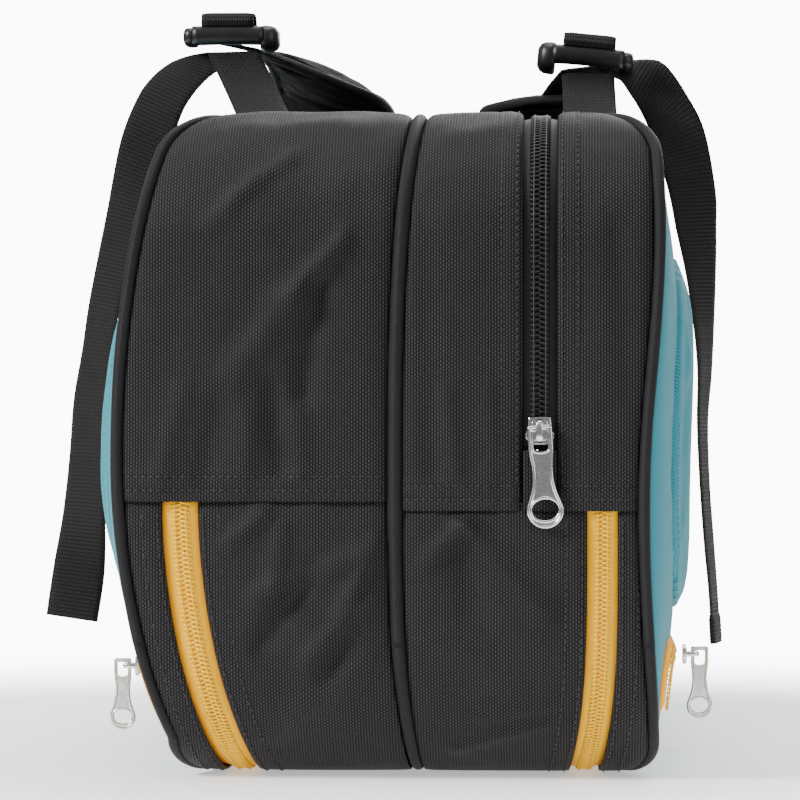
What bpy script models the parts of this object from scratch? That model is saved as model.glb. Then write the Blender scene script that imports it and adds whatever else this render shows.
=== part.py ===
"""Two-compartment backpack sports bag, lying on its long front edge with its strap side up.

Frame: metres, +Z up, the rounded bottom end of the bag towards -Y (the near end), +X to the right.
The bag's profile is a rounded rectangle in the YZ plane. Fabric bands follow it round, and two
face panels close its sides. Every panel, zip, piping, slider, buckle and strap is its own object.
"""

from math import cos, pi, sin, sqrt

import bmesh
import bpy
from mathutils import Matrix, Vector

MM = 0.001

# Driving dimensions of the shell
LENGTH = 540 * MM
HEIGHT = 294 * MM
CORNER = 60 * MM
CENTRE_X = 9.2 * MM  # puts the middle of the whole bag, straps included, on the frame's axis
MID_Z = HEIGHT / 2
BELLY_LEFT = 116.2 * MM
BELLY_RIGHT = 117.4 * MM
BULGE_LEFT, BULGE_RIGHT = 8.5 * MM, 14 * MM
BULGE_Z, BULGE_UP, BULGE_DOWN = 118 * MM, 150 * MM, 100 * MM  # its crest and reach
WALL = 2.6 * MM
RIGHT_DIVIDER = 10.2 * MM  # how far the right divider stands from the main zip
GAP = 0.4 * MM
SEAM_LEFT = 121 * MM
SEAM_RIGHT = 117 * MM

# Piping cords
EDGE_PIPING_R = 2.4 * MM
FACE_INSET = 2 * EDGE_PIPING_R + 2 * GAP  # from the outline to a face's rim
MID_PIPING_R = 3.0 * MM

# Zips: half widths of the slot and of the tooth coil
TAPE = 0.8 * MM
TAPE_HALF = 11.5 * MM
MAIN_ZIP_X = CENTRE_X + 68.7 * MM
MAIN_ZIP_LOW = 144 * MM
MAIN_SLOT, MAIN_COIL = 7.6 * MM, 4.2 * MM
LEFT_SLOT, LEFT_COIL = 7.8 * MM, 3.9 * MM
RIGHT_SLOT, RIGHT_COIL = 6.6 * MM, 3.4 * MM

# Pockets on the two faces
POCKET_LOW, POCKET_HIGH = 66 * MM, 236 * MM
POCKET_NEAR, POCKET_FAR = -222 * MM, 215 * MM
POCKET_PUFF = 5 * MM
OVER_FACE = WALL / 2 + 1.3 * MM  # clears the facets of the bulging face below
POCKET_ZIP_LEFT, POCKET_ZIP_RIGHT = 46 * MM, 52 * MM
POCKET_ZIP_END = 205 * MM
POCKET_COIL_T = 1.6 * MM
POCKET_TAPE_HALF, POCKET_COIL_HALF = 8 * MM, 2.6 * MM

# Webbing and straps
WEBBING = 25 * MM
WEBBING_T = 1.6 * MM
TAIL_Y = -91 * MM
PAD_WIDTH = 66 * MM
PAD_T = 10 * MM
YOKE_LOW, YOKE_HIGH, YOKE_T = (-78 * MM, 205 * MM), (106 * MM, 232 * MM), 2.4 * MM

# Sliders and pulls
SLIDER_RIDE = 1.5 * MM  # lets a pocket's slider pass the middle of its bulging face
PULL_AXIS_W = 5.0 * MM  # height of a large pull's top bar over the fabric
PULL_AXIS_V = 1.0 * MM
BIG_BAR = 7.6 * MM
SMALL = 0.72
SMALL_BAR = 7.4 * MM
POCKET_SLIDER_Y = -205 * MM
MAIN_SLIDER_Z = 152 * MM
SIDE_SLIDER_Z = 108 * MM
MAIN_PULL_LEAN = 0.07

# Each lock: its middle (x, z) and how far it leans
LOCKS = {"left": (-73.5 * MM, 341 * MM, 0.0), "right": (99 * MM, 330 * MM, 0.1)}

# Each tail hangs from its lock: middle (x, z) and the width it shows from the near end, in mm
TAIL_ROUTES = {
    "left": (
        (-82, 320, 25), (-93, 314.5, 25), (-104, 303, 25), (-114, 283, 25), (-123.5, 256, 22),
        (-132, 229, 16), (-138, 201, 12), (-141.5, 172, 12), (-143, 143, 13), (-144, 115, 18),
        (-146.5, 86, 25), (-152, 62, 25),
    ),
    "right": (
        (121.5, 317.5, 25), (129.5, 314, 25), (138, 304, 24), (146, 287, 23), (149, 268, 22.5),
        (151, 250, 19.5), (153.2, 228, 14.6), (154.6, 203, 10), (155, 180, 7), (154, 157, 5.5),
        (155, 128, 5), (157, 100, 5), (159, 76, 4.5), (160.5, 51, 4.5),
    ),
}

# Each pad: middle (x, y, z) and roll in degrees; each anchor and link: middle points, all in mm
PAD_ROUTES = {
    "left": ((-40, 203, 301, 0), (-36, 150, 307, 3), (-32, 90, 316, 9), (-31, 30, 324, 16),
             (-32, -25, 328, 21), (-40, -62, 331, 22)),
    "right": ((68, 203, 301, 0), (70, 150, 305, 0), (73, 90, 309, -1), (76, 30, 312, -2),
              (78, -25, 313.5, -3), (84, -62, 314, -3)),
}
ANCHOR_ROUTES = {
    "left": ((-49, -186, 295.3), (-50, -160, 295.6), (-53, -140, 300), (-62, -113, 317), (-71, -96, 334)),
    "right": ((100, -186, 295.3), (100, -160, 295.6), (100, -140, 299), (99.5, -113, 312), (99, -96, 323)),
}
LINK_ROUTES = {
    "left": ((-51, -66, 335.5), (-62, -72, 337.5), (-72, -77.2, 339.5)),
    "right": ((89, -66, 318), (94, -72, 323), (98.5, -77.2, 328)),
}

# Grab handle on the far end
HANDLE_X = CENTRE_X + 5 * MM
HANDLE_Y = LENGTH / 2 + 4.2 * MM
HANDLE_Z = 236 * MM
HANDLE_HALF = 46 * MM
HANDLE_SAG = 26 * MM
HANDLE_WIDTH = 18 * MM
HANDLE_T = 3 * MM
TAB_OUT = 14 * MM
TAB_HALF_X, TAB_HALF_Z, TAB_T = 11 * MM, 13 * MM, 2 * MM

STRAIGHT_UP = HEIGHT - 2 * CORNER
STRAIGHT_ALONG = LENGTH - 2 * CORNER
ARC = CORNER * pi / 2
PERIMETER = 2 * (STRAIGHT_UP + STRAIGHT_ALONG) + 4 * ARC
FAR_FOOT = 2 * STRAIGHT_UP + STRAIGHT_ALONG + 2 * ARC
X, Y, Z = Vector((1, 0, 0)), Vector((0, 1, 0)), Vector((0, 0, 1))


def clear_scene():
    for old in list(bpy.data.objects):
        bpy.data.objects.remove(old, do_unlink=True)


def material(name, colour, roughness, metallic=0.0):
    made = bpy.data.materials.new(name)
    made.use_nodes = True
    shader = made.node_tree.nodes["Principled BSDF"]
    shader.inputs["Base Color"].default_value = (*colour, 1.0)
    shader.inputs["Roughness"].default_value = roughness
    shader.inputs["Metallic"].default_value = metallic
    return made


# ---------------------------------------------------------------- the bag's shape


def outline_at(s):
    """Point (y, z) and outward normal at arc length s, up the near end, over the top and round."""
    s %= PERIMETER
    y, z, heading = -LENGTH / 2, CORNER, pi / 2
    for straight in (STRAIGHT_UP, STRAIGHT_ALONG, STRAIGHT_UP, STRAIGHT_ALONG):
        step = min(s, straight)
        y, z, s = y + cos(heading) * step, z + sin(heading) * step, s - step
        turn = min(s / CORNER, pi / 2)
        outward = heading + pi / 2
        y += CORNER * (cos(outward - turn) - cos(outward))
        z += CORNER * (sin(outward - turn) - sin(outward))
        heading, s = heading - turn, s - turn * CORNER
        if s <= 0:
            break
    return y, z, cos(heading + pi / 2), sin(heading + pi / 2)


def near_end(z):
    """Arc length of a height on the straight part of the near end."""
    return z - CORNER


def far_end(z):
    """Arc length of a height on the straight part of the far end."""
    return FAR_FOOT - (z - CORNER)


def stations(start, end, up=7, along=4, arc=6):
    """Arc lengths from start to end: the ends, and every division of the outline between them."""
    knots, base = [], 0.0
    for straight, count in ((STRAIGHT_UP, up), (STRAIGHT_ALONG, along)) * 2:
        knots += [base + straight * i / count for i in range(count)]
        knots += [base + straight + ARC * i / arc for i in range(arc)]
        base += straight + ARC
    laps = [knot + lap * PERIMETER for lap in (0, 1) for knot in knots]
    return [start] + [k for k in laps if start + MM < k < end - MM] + [end]


def rounding(z, low_radius, high_radius):
    """How far a side edge is drawn in where it turns into the bottom and the top."""
    if z < low_radius:
        return low_radius - sqrt(max(low_radius**2 - (low_radius - z) ** 2, 0))
    if z > HEIGHT - high_radius:
        over = z - (HEIGHT - high_radius)
        return high_radius - sqrt(max(high_radius**2 - over**2, 0))
    return 0.0


def left_edge(y, z):
    """The barrel-shaped left edge of the bands, drawn in more below its waist."""
    waist = 142.4 * MM
    barrel = (31 * MM if z < waist else 21.5 * MM) * ((max(z, 16 * MM) - waist) / MID_Z) ** 2
    return CENTRE_X - (BELLY_LEFT - barrel - rounding(z, 13 * MM, 18 * MM))


def right_edge(y, z):
    """The right edge, almost upright with a slow wave in it."""
    pinch = 117.8 * MM
    swing = 3.5 * MM if z > pinch else 2.4 * MM
    wave = swing * (1 - cos(2 * pi * (z - pinch) / (246.5 * MM)))
    return CENTRE_X + BELLY_RIGHT - 3.5 * MM + wave - rounding(z, 13 * MM, 20 * MM)


def middle(y, z):
    """The centre line, which leans to the right at the top and the bottom."""
    waist = 133 * MM
    reach, lean = (161 * MM, 9.1 * MM) if z > waist else (waist, 8.2 * MM)
    return CENTRE_X + 5.5 * MM + lean * (abs(z - waist) / reach) ** 2.7


def left_zip(y, z):
    """The left compartment's zip, which curves inwards as it goes under the bag."""
    power = 1.9 if y < 0 else 4
    return CENTRE_X - 88 * MM + 23.7 * MM * max(1 - z / SEAM_LEFT, 0) ** power


def right_zip(y, z):
    return CENTRE_X + 95.9 * MM - 8.2 * MM * max(1 - z / SEAM_RIGHT, 0) ** 4


def main_zip(y, z):
    return MAIN_ZIP_X


def shifted(line, by):
    return lambda y, z: line(y, z) + by


def face_x(side, y, z):
    """The bulging surface of a face panel; side is -1 for the left face and 1 for the right."""
    level = MID_Z + (z - MID_Z) * MID_Z / (MID_Z - FACE_INSET)  # the piping beside a rim point
    edge, bulge = (left_edge(y, level), -BULGE_LEFT) if side < 0 else (right_edge(y, level), BULGE_RIGHT)
    along = 1 - abs(2 * y / LENGTH) ** 10
    reach = BULGE_UP if z > BULGE_Z else BULGE_DOWN
    across = max(1 - abs((z - BULGE_Z) / reach) ** 2.2, 0)
    return edge + bulge * along * across


# ---------------------------------------------------------------- builders


def add_object(name, mesh, look):
    made = bpy.data.objects.new(name, mesh)
    bpy.context.scene.collection.objects.link(made)
    mesh.materials.append(look)
    return made


def finish_mesh(name, bm, look, smooth=True):
    bmesh.ops.recalc_face_normals(bm, faces=bm.faces)
    mesh = bpy.data.meshes.new(name)
    bm.to_mesh(mesh)
    bm.free()
    if smooth:
        mesh.shade_smooth()
        mesh.set_sharp_from_angle(angle=0.6)
    return add_object(name, mesh, look)


def skin(name, sections, look, closed=False):
    """A tube through equal sections, each a ring of points, capped at its ends unless closed."""
    bm = bmesh.new()
    rings = [[bm.verts.new(point) for point in section] for section in sections]
    pairs = list(zip(rings, rings[1:]))
    if closed:
        pairs.append((rings[-1], rings[0]))
    for first, second in pairs:
        for i in range(len(first)):
            j = (i + 1) % len(first)
            bm.faces.new((first[i], first[j], second[j], second[i]))
    if not closed:
        bm.faces.new(rings[0])
        bm.faces.new(reversed(rings[-1]))
    return finish_mesh(name, bm, look)


def band(name, start, end, low, high, look, outer=0.0, inner=-WALL, closed=False):
    """A strip of fabric that follows the outline between two lines of x."""
    sections = []
    steps = stations(start, end)
    for s in steps[:-1] if closed else steps:
        y, z, ny, nz = outline_at(s)
        x0, x1 = low(y, z), high(y, z)
        sections.append(
            [
                (x0, y + outer * ny, z + outer * nz),
                (x1, y + outer * ny, z + outer * nz),
                (x1, y + inner * ny, z + inner * nz),
                (x0, y + inner * ny, z + inner * nz),
            ]
        )
    return skin(name, sections, look, closed)


def piping(name, line, radius, look, sides=8):
    """A corded edge right round the outline, its outside just under the bands' surface."""
    sections = []
    for s in stations(0, PERIMETER)[:-1]:
        y, z, ny, nz = outline_at(s)
        x, depth = line(y, z), -radius - 0.2 * MM
        ring = []
        for i in range(sides):
            a = 2 * pi * (i + 0.5) / sides
            off = depth + radius * sin(a)
            ring.append((x + radius * cos(a), y + off * ny, z + off * nz))
        sections.append(ring)
    return skin(name, sections, look, closed=True)


def domed_sheet(name, rim, centre, outer, inner, look, scales=(1, 0.94, 0.8, 0.55, 0.28)):
    """A closed sheet between two surfaces x(y, z), in rings that shrink from its rim."""
    bm = bmesh.new()
    skins = []
    for surface in (outer, inner):
        rings = []
        for scale in scales:
            spots = [[c + (p - c) * scale for p, c in zip(point, centre)] for point in rim]
            rings.append([bm.verts.new((surface(y, z), y, z)) for y, z in spots])
        tip = bm.verts.new((surface(*centre), *centre))
        for first, second in zip(rings, rings[1:]):
            for i in range(len(rim)):
                j = (i + 1) % len(rim)
                bm.faces.new((first[i], first[j], second[j], second[i]))
        for i in range(len(rim)):
            bm.faces.new((rings[-1][i], rings[-1][(i + 1) % len(rim)], tip))
        skins.append(rings[0])
    for i in range(len(rim)):
        j = (i + 1) % len(rim)
        bm.faces.new((skins[0][i], skins[0][j], skins[1][j], skins[1][i]))
    return finish_mesh(name, bm, look)


def rounded_rectangle(low_y, high_y, low_z, high_z, radius, arc=4, run=3):
    """The outline's points, anticlockwise, with the long runs divided."""
    corners = (
        (high_y - radius, low_z + radius, -pi / 2),
        (high_y - radius, high_z - radius, 0),
        (low_y + radius, high_z - radius, pi / 2),
        (low_y + radius, low_z + radius, pi),
    )
    points = []
    for cy, cz, start in corners:
        for i in range(arc + 1):
            a = start + pi / 2 * i / arc
            points.append((cy + radius * cos(a), cz + radius * sin(a)))
    divided = []
    for i, (y, z) in enumerate(points):
        ny, nz = points[(i + 1) % len(points)]
        count = run if max(abs(ny - y), abs(nz - z)) > 2 * radius else 1
        divided += [(y + (ny - y) * k / count, z + (nz - z) * k / count) for k in range(count)]
    return divided


def strip_on_face(name, side, path, half, low, high, look):
    """A flat strip laid along a path (y, z) on a face, between two heights over its surface."""
    sections = []
    for i, (y, z) in enumerate(path):
        before, after = path[max(i - 1, 0)], path[min(i + 1, len(path) - 1)]
        along = Vector((after[0] - before[0], after[1] - before[1])).normalized()
        across = Vector((-along.y, along.x)) * half
        ring = []
        for sign, rise in ((-1, low), (1, low), (1, high), (-1, high)):
            py, pz = y + sign * across.x, z + sign * across.y
            ring.append((face_x(side, py, pz) + side * rise, py, pz))
        sections.append(ring)
    return skin(name, sections, look)


def plate(name, loops, thickness, look, place):
    """A flat plate from an outer loop and its holes, then placed by a matrix."""
    bm = bmesh.new()
    for loop in loops:
        corners = [bm.verts.new((x, y, -thickness / 2)) for x, y in loop]
        for i, corner in enumerate(corners):
            bm.edges.new((corner, corners[(i + 1) % len(corners)]))
    bmesh.ops.triangle_fill(bm, use_beauty=True, edges=bm.edges)
    raised = bmesh.ops.extrude_face_region(bm, geom=bm.faces[:])
    top = [item for item in raised["geom"] if isinstance(item, bmesh.types.BMVert)]
    bmesh.ops.translate(bm, verts=top, vec=(0, 0, thickness))
    bm.transform(place)
    return finish_mesh(name, bm, look)


def ellipse(cx, cy, rx, ry, count=14):
    turns = [2 * pi * i / count for i in range(count)]
    return [(cx + rx * cos(a), cy + ry * sin(a)) for a in turns]


def ribbon(name, points, across, thickness, look):
    """Webbing through points, with a half-width vector at each one."""
    sections = []
    for i, (point, half) in enumerate(zip(points, across)):
        along = Vector(points[min(i + 1, len(points) - 1)]) - Vector(points[max(i - 1, 0)])
        half = Vector(half)
        normal = along.cross(half).normalized() * thickness / 2
        corners = (half + normal, normal - half, -half - normal, half - normal)
        sections.append([Vector(point) + corner for corner in corners])
    return skin(name, sections, look)


def box_between(bm, low, high):
    made = bmesh.ops.create_cube(bm, size=1)["verts"]
    for vert in made:
        vert.co = [low[i] + (high[i] - low[i]) * (vert.co[i] + 0.5) for i in range(3)]


def joined(name, boxes, look, place, bevel):
    """Boxes merged into one body by Boolean unions, then rounded."""
    shapes = []
    for low, high in boxes:
        bm = bmesh.new()
        box_between(bm, low, high)
        bm.transform(place)
        called = f"{name}_shape_{len(shapes)}" if shapes else name
        shapes.append(finish_mesh(called, bm, look, False))
    for extra in shapes[1:]:
        extra.hide_render, extra.display_type = True, "WIRE"
        union = shapes[0].modifiers.new("Union", "BOOLEAN")
        union.operation, union.object = "UNION", extra
    rounded = shapes[0].modifiers.new("Rounding", "BEVEL")
    rounded.width, rounded.segments, rounded.limit_method = bevel, 1, "ANGLE"
    return shapes[0]


# ---------------------------------------------------------------- shell panels


def make_left_half(black):
    outer, inner = EDGE_PIPING_R + GAP, MID_PIPING_R + GAP
    low, high = shifted(left_edge, outer), shifted(middle, -inner)
    slot_out, slot_in = shifted(left_zip, -LEFT_SLOT), shifted(left_zip, LEFT_SLOT)
    over = near_end(SEAM_LEFT) + GAP / 2, far_end(SEAM_LEFT) - GAP / 2
    under = far_end(SEAM_LEFT) + GAP / 2, PERIMETER + near_end(SEAM_LEFT) - GAP / 2
    band("left_upper_gusset", *over, low, high, black)
    band("left_lower_gusset", *under, slot_in, high, black)
    band("left_edge_strip", *under, low, slot_out, black)


def make_right_half(black):
    outer, inner = EDGE_PIPING_R + GAP, MID_PIPING_R + GAP
    low, high = shifted(middle, inner), shifted(right_edge, -outer)
    slot_low, slot_high = shifted(main_zip, -MAIN_SLOT), shifted(main_zip, MAIN_SLOT)
    over = near_end(SEAM_RIGHT) + GAP / 2, far_end(SEAM_RIGHT) - GAP / 2
    under = far_end(SEAM_RIGHT) + GAP / 2, PERIMETER + near_end(SEAM_RIGHT) - GAP / 2
    band("right_upper_gusset_inner", *over, low, slot_low, black)
    band("right_upper_gusset_outer", *over, slot_high, high, black)
    band("right_lower_gusset", *under, low, shifted(right_zip, -RIGHT_SLOT), black)
    band("right_edge_strip", *under, shifted(right_zip, RIGHT_SLOT), high, black)
    patch_low, patch_high = shifted(main_zip, GAP - MAIN_SLOT), shifted(main_zip, MAIN_SLOT - GAP)
    near = near_end(SEAM_RIGHT) + GAP / 2, near_end(MAIN_ZIP_LOW) - GAP
    far = far_end(MAIN_ZIP_LOW) + GAP, far_end(SEAM_RIGHT) - GAP / 2
    band("main_zip_near_stop", *near, patch_low, patch_high, black)
    band("main_zip_far_stop", *far, patch_low, patch_high, black)


def make_zip(name, line, coil_half, start, end, tape_look, coil_look):
    """The tape lies under the bands' edges, and the coil stands on it inside the slot."""
    top = -WALL - GAP
    low, high = shifted(line, -TAPE_HALF), shifted(line, TAPE_HALF)
    band(f"{name}_tape", start, end, low, high, tape_look, top, top - TAPE)
    low, high = shifted(line, -coil_half), shifted(line, coil_half)
    band(f"{name}_coil", start, end, low, high, coil_look, -GAP, top + 0.1 * MM)


def make_zips(black, yellow, bright):
    under = 6 * MM
    top = near_end(MAIN_ZIP_LOW), far_end(MAIN_ZIP_LOW)
    make_zip("main_zip", main_zip, MAIN_COIL, *top, black, black)
    for name, line, coil, seam in (
        ("left_zip", left_zip, LEFT_COIL, SEAM_LEFT),
        ("right_zip", right_zip, RIGHT_COIL, SEAM_RIGHT),
    ):
        ends = far_end(seam - under / 3), PERIMETER + near_end(seam - under / 3)
        make_zip(name, line, coil, *ends, yellow, bright)


def outline_rim(inset):
    rim = []
    for s in stations(0, PERIMETER)[:-1]:
        y, z, ny, nz = outline_at(s)
        rim.append((y - inset * ny, z - inset * nz))
    return rim


def make_faces(teal, lining):
    centre = (0.0, MID_Z)
    rim = outline_rim(FACE_INSET)
    for name, side in (("left_face_panel", -1), ("right_face_panel", 1)):
        domed_sheet(
            name,
            rim,
            centre,
            lambda y, z, side=side: face_x(side, y, z) + side * WALL / 2,
            lambda y, z, side=side: face_x(side, y, z) - side * WALL / 2,
            teal,
        )
    inner = outline_rim(9 * MM)
    half = 0.75 * MM
    for name, line, scales in (
        ("centre_divider", middle, (1, 0.8, 0.4)),
        ("right_divider", shifted(main_zip, RIGHT_DIVIDER), (1, 0.5)),
    ):
        domed_sheet(name, inner, centre, shifted(line, half), shifted(line, -half), lining, scales)


def make_pockets(teal, yellow, bright):
    rim = rounded_rectangle(POCKET_NEAR, POCKET_FAR, POCKET_LOW, POCKET_HIGH, 34 * MM)
    centre = ((POCKET_NEAR + POCKET_FAR) / 2, (POCKET_LOW + POCKET_HIGH) / 2)
    half_y, half_z = (POCKET_FAR - POCKET_NEAR) / 2, (POCKET_HIGH - POCKET_LOW) / 2

    def puff(y, z):
        along = 1 - min(abs((y - centre[0]) / half_y), 1) ** 6
        across = 1 - min(abs((z - centre[1]) / half_z), 1) ** 4
        return 1 * MM + (POCKET_PUFF - 1 * MM) * along * across

    for side, name, height in ((-1, "left", POCKET_ZIP_LEFT), (1, "right", POCKET_ZIP_RIGHT)):
        domed_sheet(
            f"{name}_pocket_panel",
            rim,
            centre,
            lambda y, z, side=side: face_x(side, y, z) + side * (OVER_FACE + puff(y, z)),
            lambda y, z, side=side: face_x(side, y, z) + side * OVER_FACE,
            teal,
        )
        path = pocket_zip_path(height)
        top = OVER_FACE + TAPE
        strip_on_face(f"{name}_pocket_zip_tape", side, path, POCKET_TAPE_HALF, OVER_FACE, top, yellow)
        low, high = top + GAP, top + GAP + POCKET_COIL_T
        strip_on_face(f"{name}_pocket_zip_coil", side, path, POCKET_COIL_HALF, low, high, bright)


def pocket_zip_path(height, radius=18 * MM, near=-243 * MM):
    """Up the near edge of the face, round a bend, then straight along it."""
    centre = (near + radius, height - radius)
    bend = [pi - pi / 2 * i / 6 for i in range(7)]
    path = [(near + 2 * MM, height - radius - 4 * MM)]
    path += [(centre[0] + radius * cos(a), centre[1] + radius * sin(a)) for a in bend]
    run = POCKET_ZIP_END - centre[0]
    return path + [(centre[0] + run * i / 8, height) for i in range(1, 9)]


def make_pipings(black):
    piping("left_piping", left_edge, EDGE_PIPING_R, black)
    piping("right_piping", right_edge, EDGE_PIPING_R, black)
    piping("centre_piping", middle, MID_PIPING_R, black)


# ---------------------------------------------------------------- sliders and pulls


def frame_at(origin, u, v, w):
    """A matrix that takes local x, y and z to the directions u, v and w."""
    turned = Matrix((u, v, w)).transposed().to_4x4()
    return Matrix.Translation(origin) @ turned


def put_origin(made, point):
    made.data.transform(Matrix.Translation(-Vector(point)))
    made.location = point


def make_slider(name, place, size, bar, look):
    """A block over the coil with a bridge on it; u is across the coil, v along it and w outwards."""
    boxes = (
        ((-6.2, -5.9, 0.1), (6.2, 5.9, 3.2)),
        ((-1.6, -5.2, 2.0), (1.6, -3.6, bar / size / MM)),
        ((-1.6, 3.6, 2.0), (1.6, 5.2, bar / size / MM)),
    )
    scaled = [tuple(tuple(MM * size * c for c in corner) for corner in pair) for pair in boxes]
    width, reach = 1.6 * MM * size, 5.2 * MM * size
    scaled.append(((-width, -reach, bar - 0.7 * MM), (width, reach, bar + 0.7 * MM)))
    made = joined(name, scaled, look, place, 0.35 * MM)
    put_origin(made, place.translation)


def pull_outline():
    """A tag with a square eye at its top and an oval ring at its foot."""
    right = [(4.0, 1.3), (5.2, 0.3), (5.2, -10), (4.4, -15), (4.4, -22), (5.6, -27.5), (7.4, -32.5)]
    foot = [(7.8 * cos(a), -35.4 + 7.8 * sin(a)) for a in (-pi * i / 10 for i in range(11))]
    left = [(-x, y) for x, y in reversed(right)]
    outer = right + foot + left
    eye = [(-3.2, -1), (3.2, -1), (3.2, -8.6), (1.8, -10), (-1.8, -10), (-3.2, -8.6)]
    return outer, eye, ellipse(0, -35.2, 5.9, 4.6)


def make_pull(name, place, size, look, pivot):
    loops = [[(x * MM * size, y * MM * size) for x, y in loop] for loop in pull_outline()]
    made = plate(name, loops, 1.5 * MM * min(size * 1.15, 1), look, place)
    put_origin(made, pivot)


def make_end_slider(name, x, z, near, look, lean=0.0):
    """A large slider on an end of the bag, its pull hanging flat against the fabric."""
    u, w = (X, -Y) if near else (-X, Y)
    origin = Vector((x, -LENGTH / 2 if near else LENGTH / 2, z))
    make_slider(f"{name}_slider", frame_at(origin, u, Z, w), 1.0, BIG_BAR, look)
    pivot = origin + PULL_AXIS_V * Z + PULL_AXIS_W * w
    tilt = Matrix.Rotation(lean, 4, w)
    place = Matrix.Translation(pivot) @ tilt @ frame_at(Vector(), u, Z, w)
    make_pull(f"{name}_pull", place, 1.0, look, pivot)


def make_pocket_slider(name, side, height, look):
    """A small slider on a pocket's zip, its pull hanging across the bridge."""
    crest = face_x(side, 0, height) + side * (OVER_FACE + TAPE + POCKET_COIL_T + SLIDER_RIDE)
    origin = Vector((crest, POCKET_SLIDER_Y, height))
    make_slider(f"{name}_slider", frame_at(origin, -side * Z, Y, side * X), SMALL, SMALL_BAR, look)
    pivot = origin + side * SMALL_BAR * X
    hung = pivot + 0.7 * MM * side * X + 2.3 * MM * Z
    make_pull(f"{name}_pull", frame_at(hung, side * X, Z, -side * Y), SMALL, look, pivot)


def make_sliders(silver):
    make_end_slider("main_zip", MAIN_ZIP_X, MAIN_SLIDER_Z, True, silver, MAIN_PULL_LEAN)
    far = LENGTH / 2
    make_end_slider("left_zip", left_zip(far, SIDE_SLIDER_Z), SIDE_SLIDER_Z, False, silver)
    make_end_slider("right_zip", right_zip(far, SIDE_SLIDER_Z), SIDE_SLIDER_Z, False, silver)
    make_pocket_slider("left_pocket", -1, POCKET_ZIP_LEFT, silver)
    make_pocket_slider("right_pocket", 1, POCKET_ZIP_RIGHT, silver)


# ---------------------------------------------------------------- straps and buckles

def make_lock(name, plastic, webbing):
    """A ladder lock: two ears joined by three bars, with the strap folded over the bars."""
    x, z, roll = LOCKS[name]
    origin = Vector((x, TAIL_Y, z))
    place = Matrix.Translation(origin) @ Matrix.Rotation(roll, 4, Y)
    boxes = [((side * 18 - 1.8, -11, -6), (side * 18 + 1.8, 11, 8)) for side in (-1, 1)]
    boxes += [((-17.5, v - 1.9, -2), (17.5, v + 1.9, 3)) for v in (-8.8, 8.8)]
    boxes.append(((-17.5, -1.6, -1.6), (17.5, 1.6, 1.6)))
    scaled = [tuple(tuple(c * MM for c in corner) for corner in pair) for pair in boxes]
    made = joined(f"{name}_ladder_lock", scaled, plastic, place, 0.9 * MM)
    put_origin(made, origin)
    fold = [(0, v, w) for v, w in ((-12, 3.6), (-10.4, 6), (-4, 7), (4, 7), (10.4, 6), (12, 3.6))]
    points = [place @ (Vector(point) * MM) for point in fold]
    half = place.to_3x3() @ (X * WEBBING / 2)
    wrap = ribbon(f"{name}_lock_fold", points, [half] * len(points), WEBBING_T, webbing)
    put_origin(wrap, origin)


def make_tail(name, webbing):
    route = TAIL_ROUTES[name]
    side = -1 if name == "left" else 1
    points = [Vector((x * MM, TAIL_Y + 6 * MM, z * MM)) for x, z, _ in route]
    across = []
    for i, (_, _, shown) in enumerate(route):
        along = (points[min(i + 1, len(points) - 1)] - points[max(i - 1, 0)]).normalized()
        flat = along.cross(Y) * shown * MM / 2
        across.append(flat + side * Y * sqrt(WEBBING**2 - (shown * MM) ** 2) / 2)
    tail = ribbon(f"{name}_strap_tail", points, across, WEBBING_T, webbing)
    put_origin(tail, points[0])


def make_pad(name, fleece):
    """A flat padded band with rounded edges, wide in the middle and drawn in at its near end."""
    sections = []
    route = PAD_ROUTES[name]
    for i, (x, y, z, roll) in enumerate(route):
        half = PAD_WIDTH / 2 * (0.72 if i == len(route) - 1 else 1)
        turned = Matrix.Rotation(roll * pi / 180, 3, Y)
        ring = []
        for k in range(10):
            a = 2 * pi * (k + 0.5) / 10
            spread, rise = cos(a), sin(a)
            spot = Vector((half * abs(spread) ** 0.5 * (1 if spread > 0 else -1), 0, PAD_T / 2 * rise))
            ring.append(turned @ spot + Vector((x, y, z)) * MM)
        sections.append(ring)
    skin(f"{name}_shoulder_pad", sections, fleece)


def make_webbing(name, route, webbing):
    points = [Vector(point) * MM for point in route]
    ribbon(name, points, [X * WEBBING / 2] * len(points), WEBBING_T, webbing)


def make_straps(plastic, webbing, fleece):
    for name in ("left", "right"):
        make_pad(name, fleece)
        make_webbing(f"{name}_anchor_webbing", ANCHOR_ROUTES[name], webbing)
        make_webbing(f"{name}_pad_link", LINK_ROUTES[name], webbing)
        make_lock(name, plastic, webbing)
        make_tail(name, webbing)
    bm = bmesh.new()
    top = HEIGHT + GAP
    box_between(bm, (*YOKE_LOW, top), (*YOKE_HIGH, top + YOKE_T))
    finish_mesh("strap_yoke", bm, webbing, False)


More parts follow.
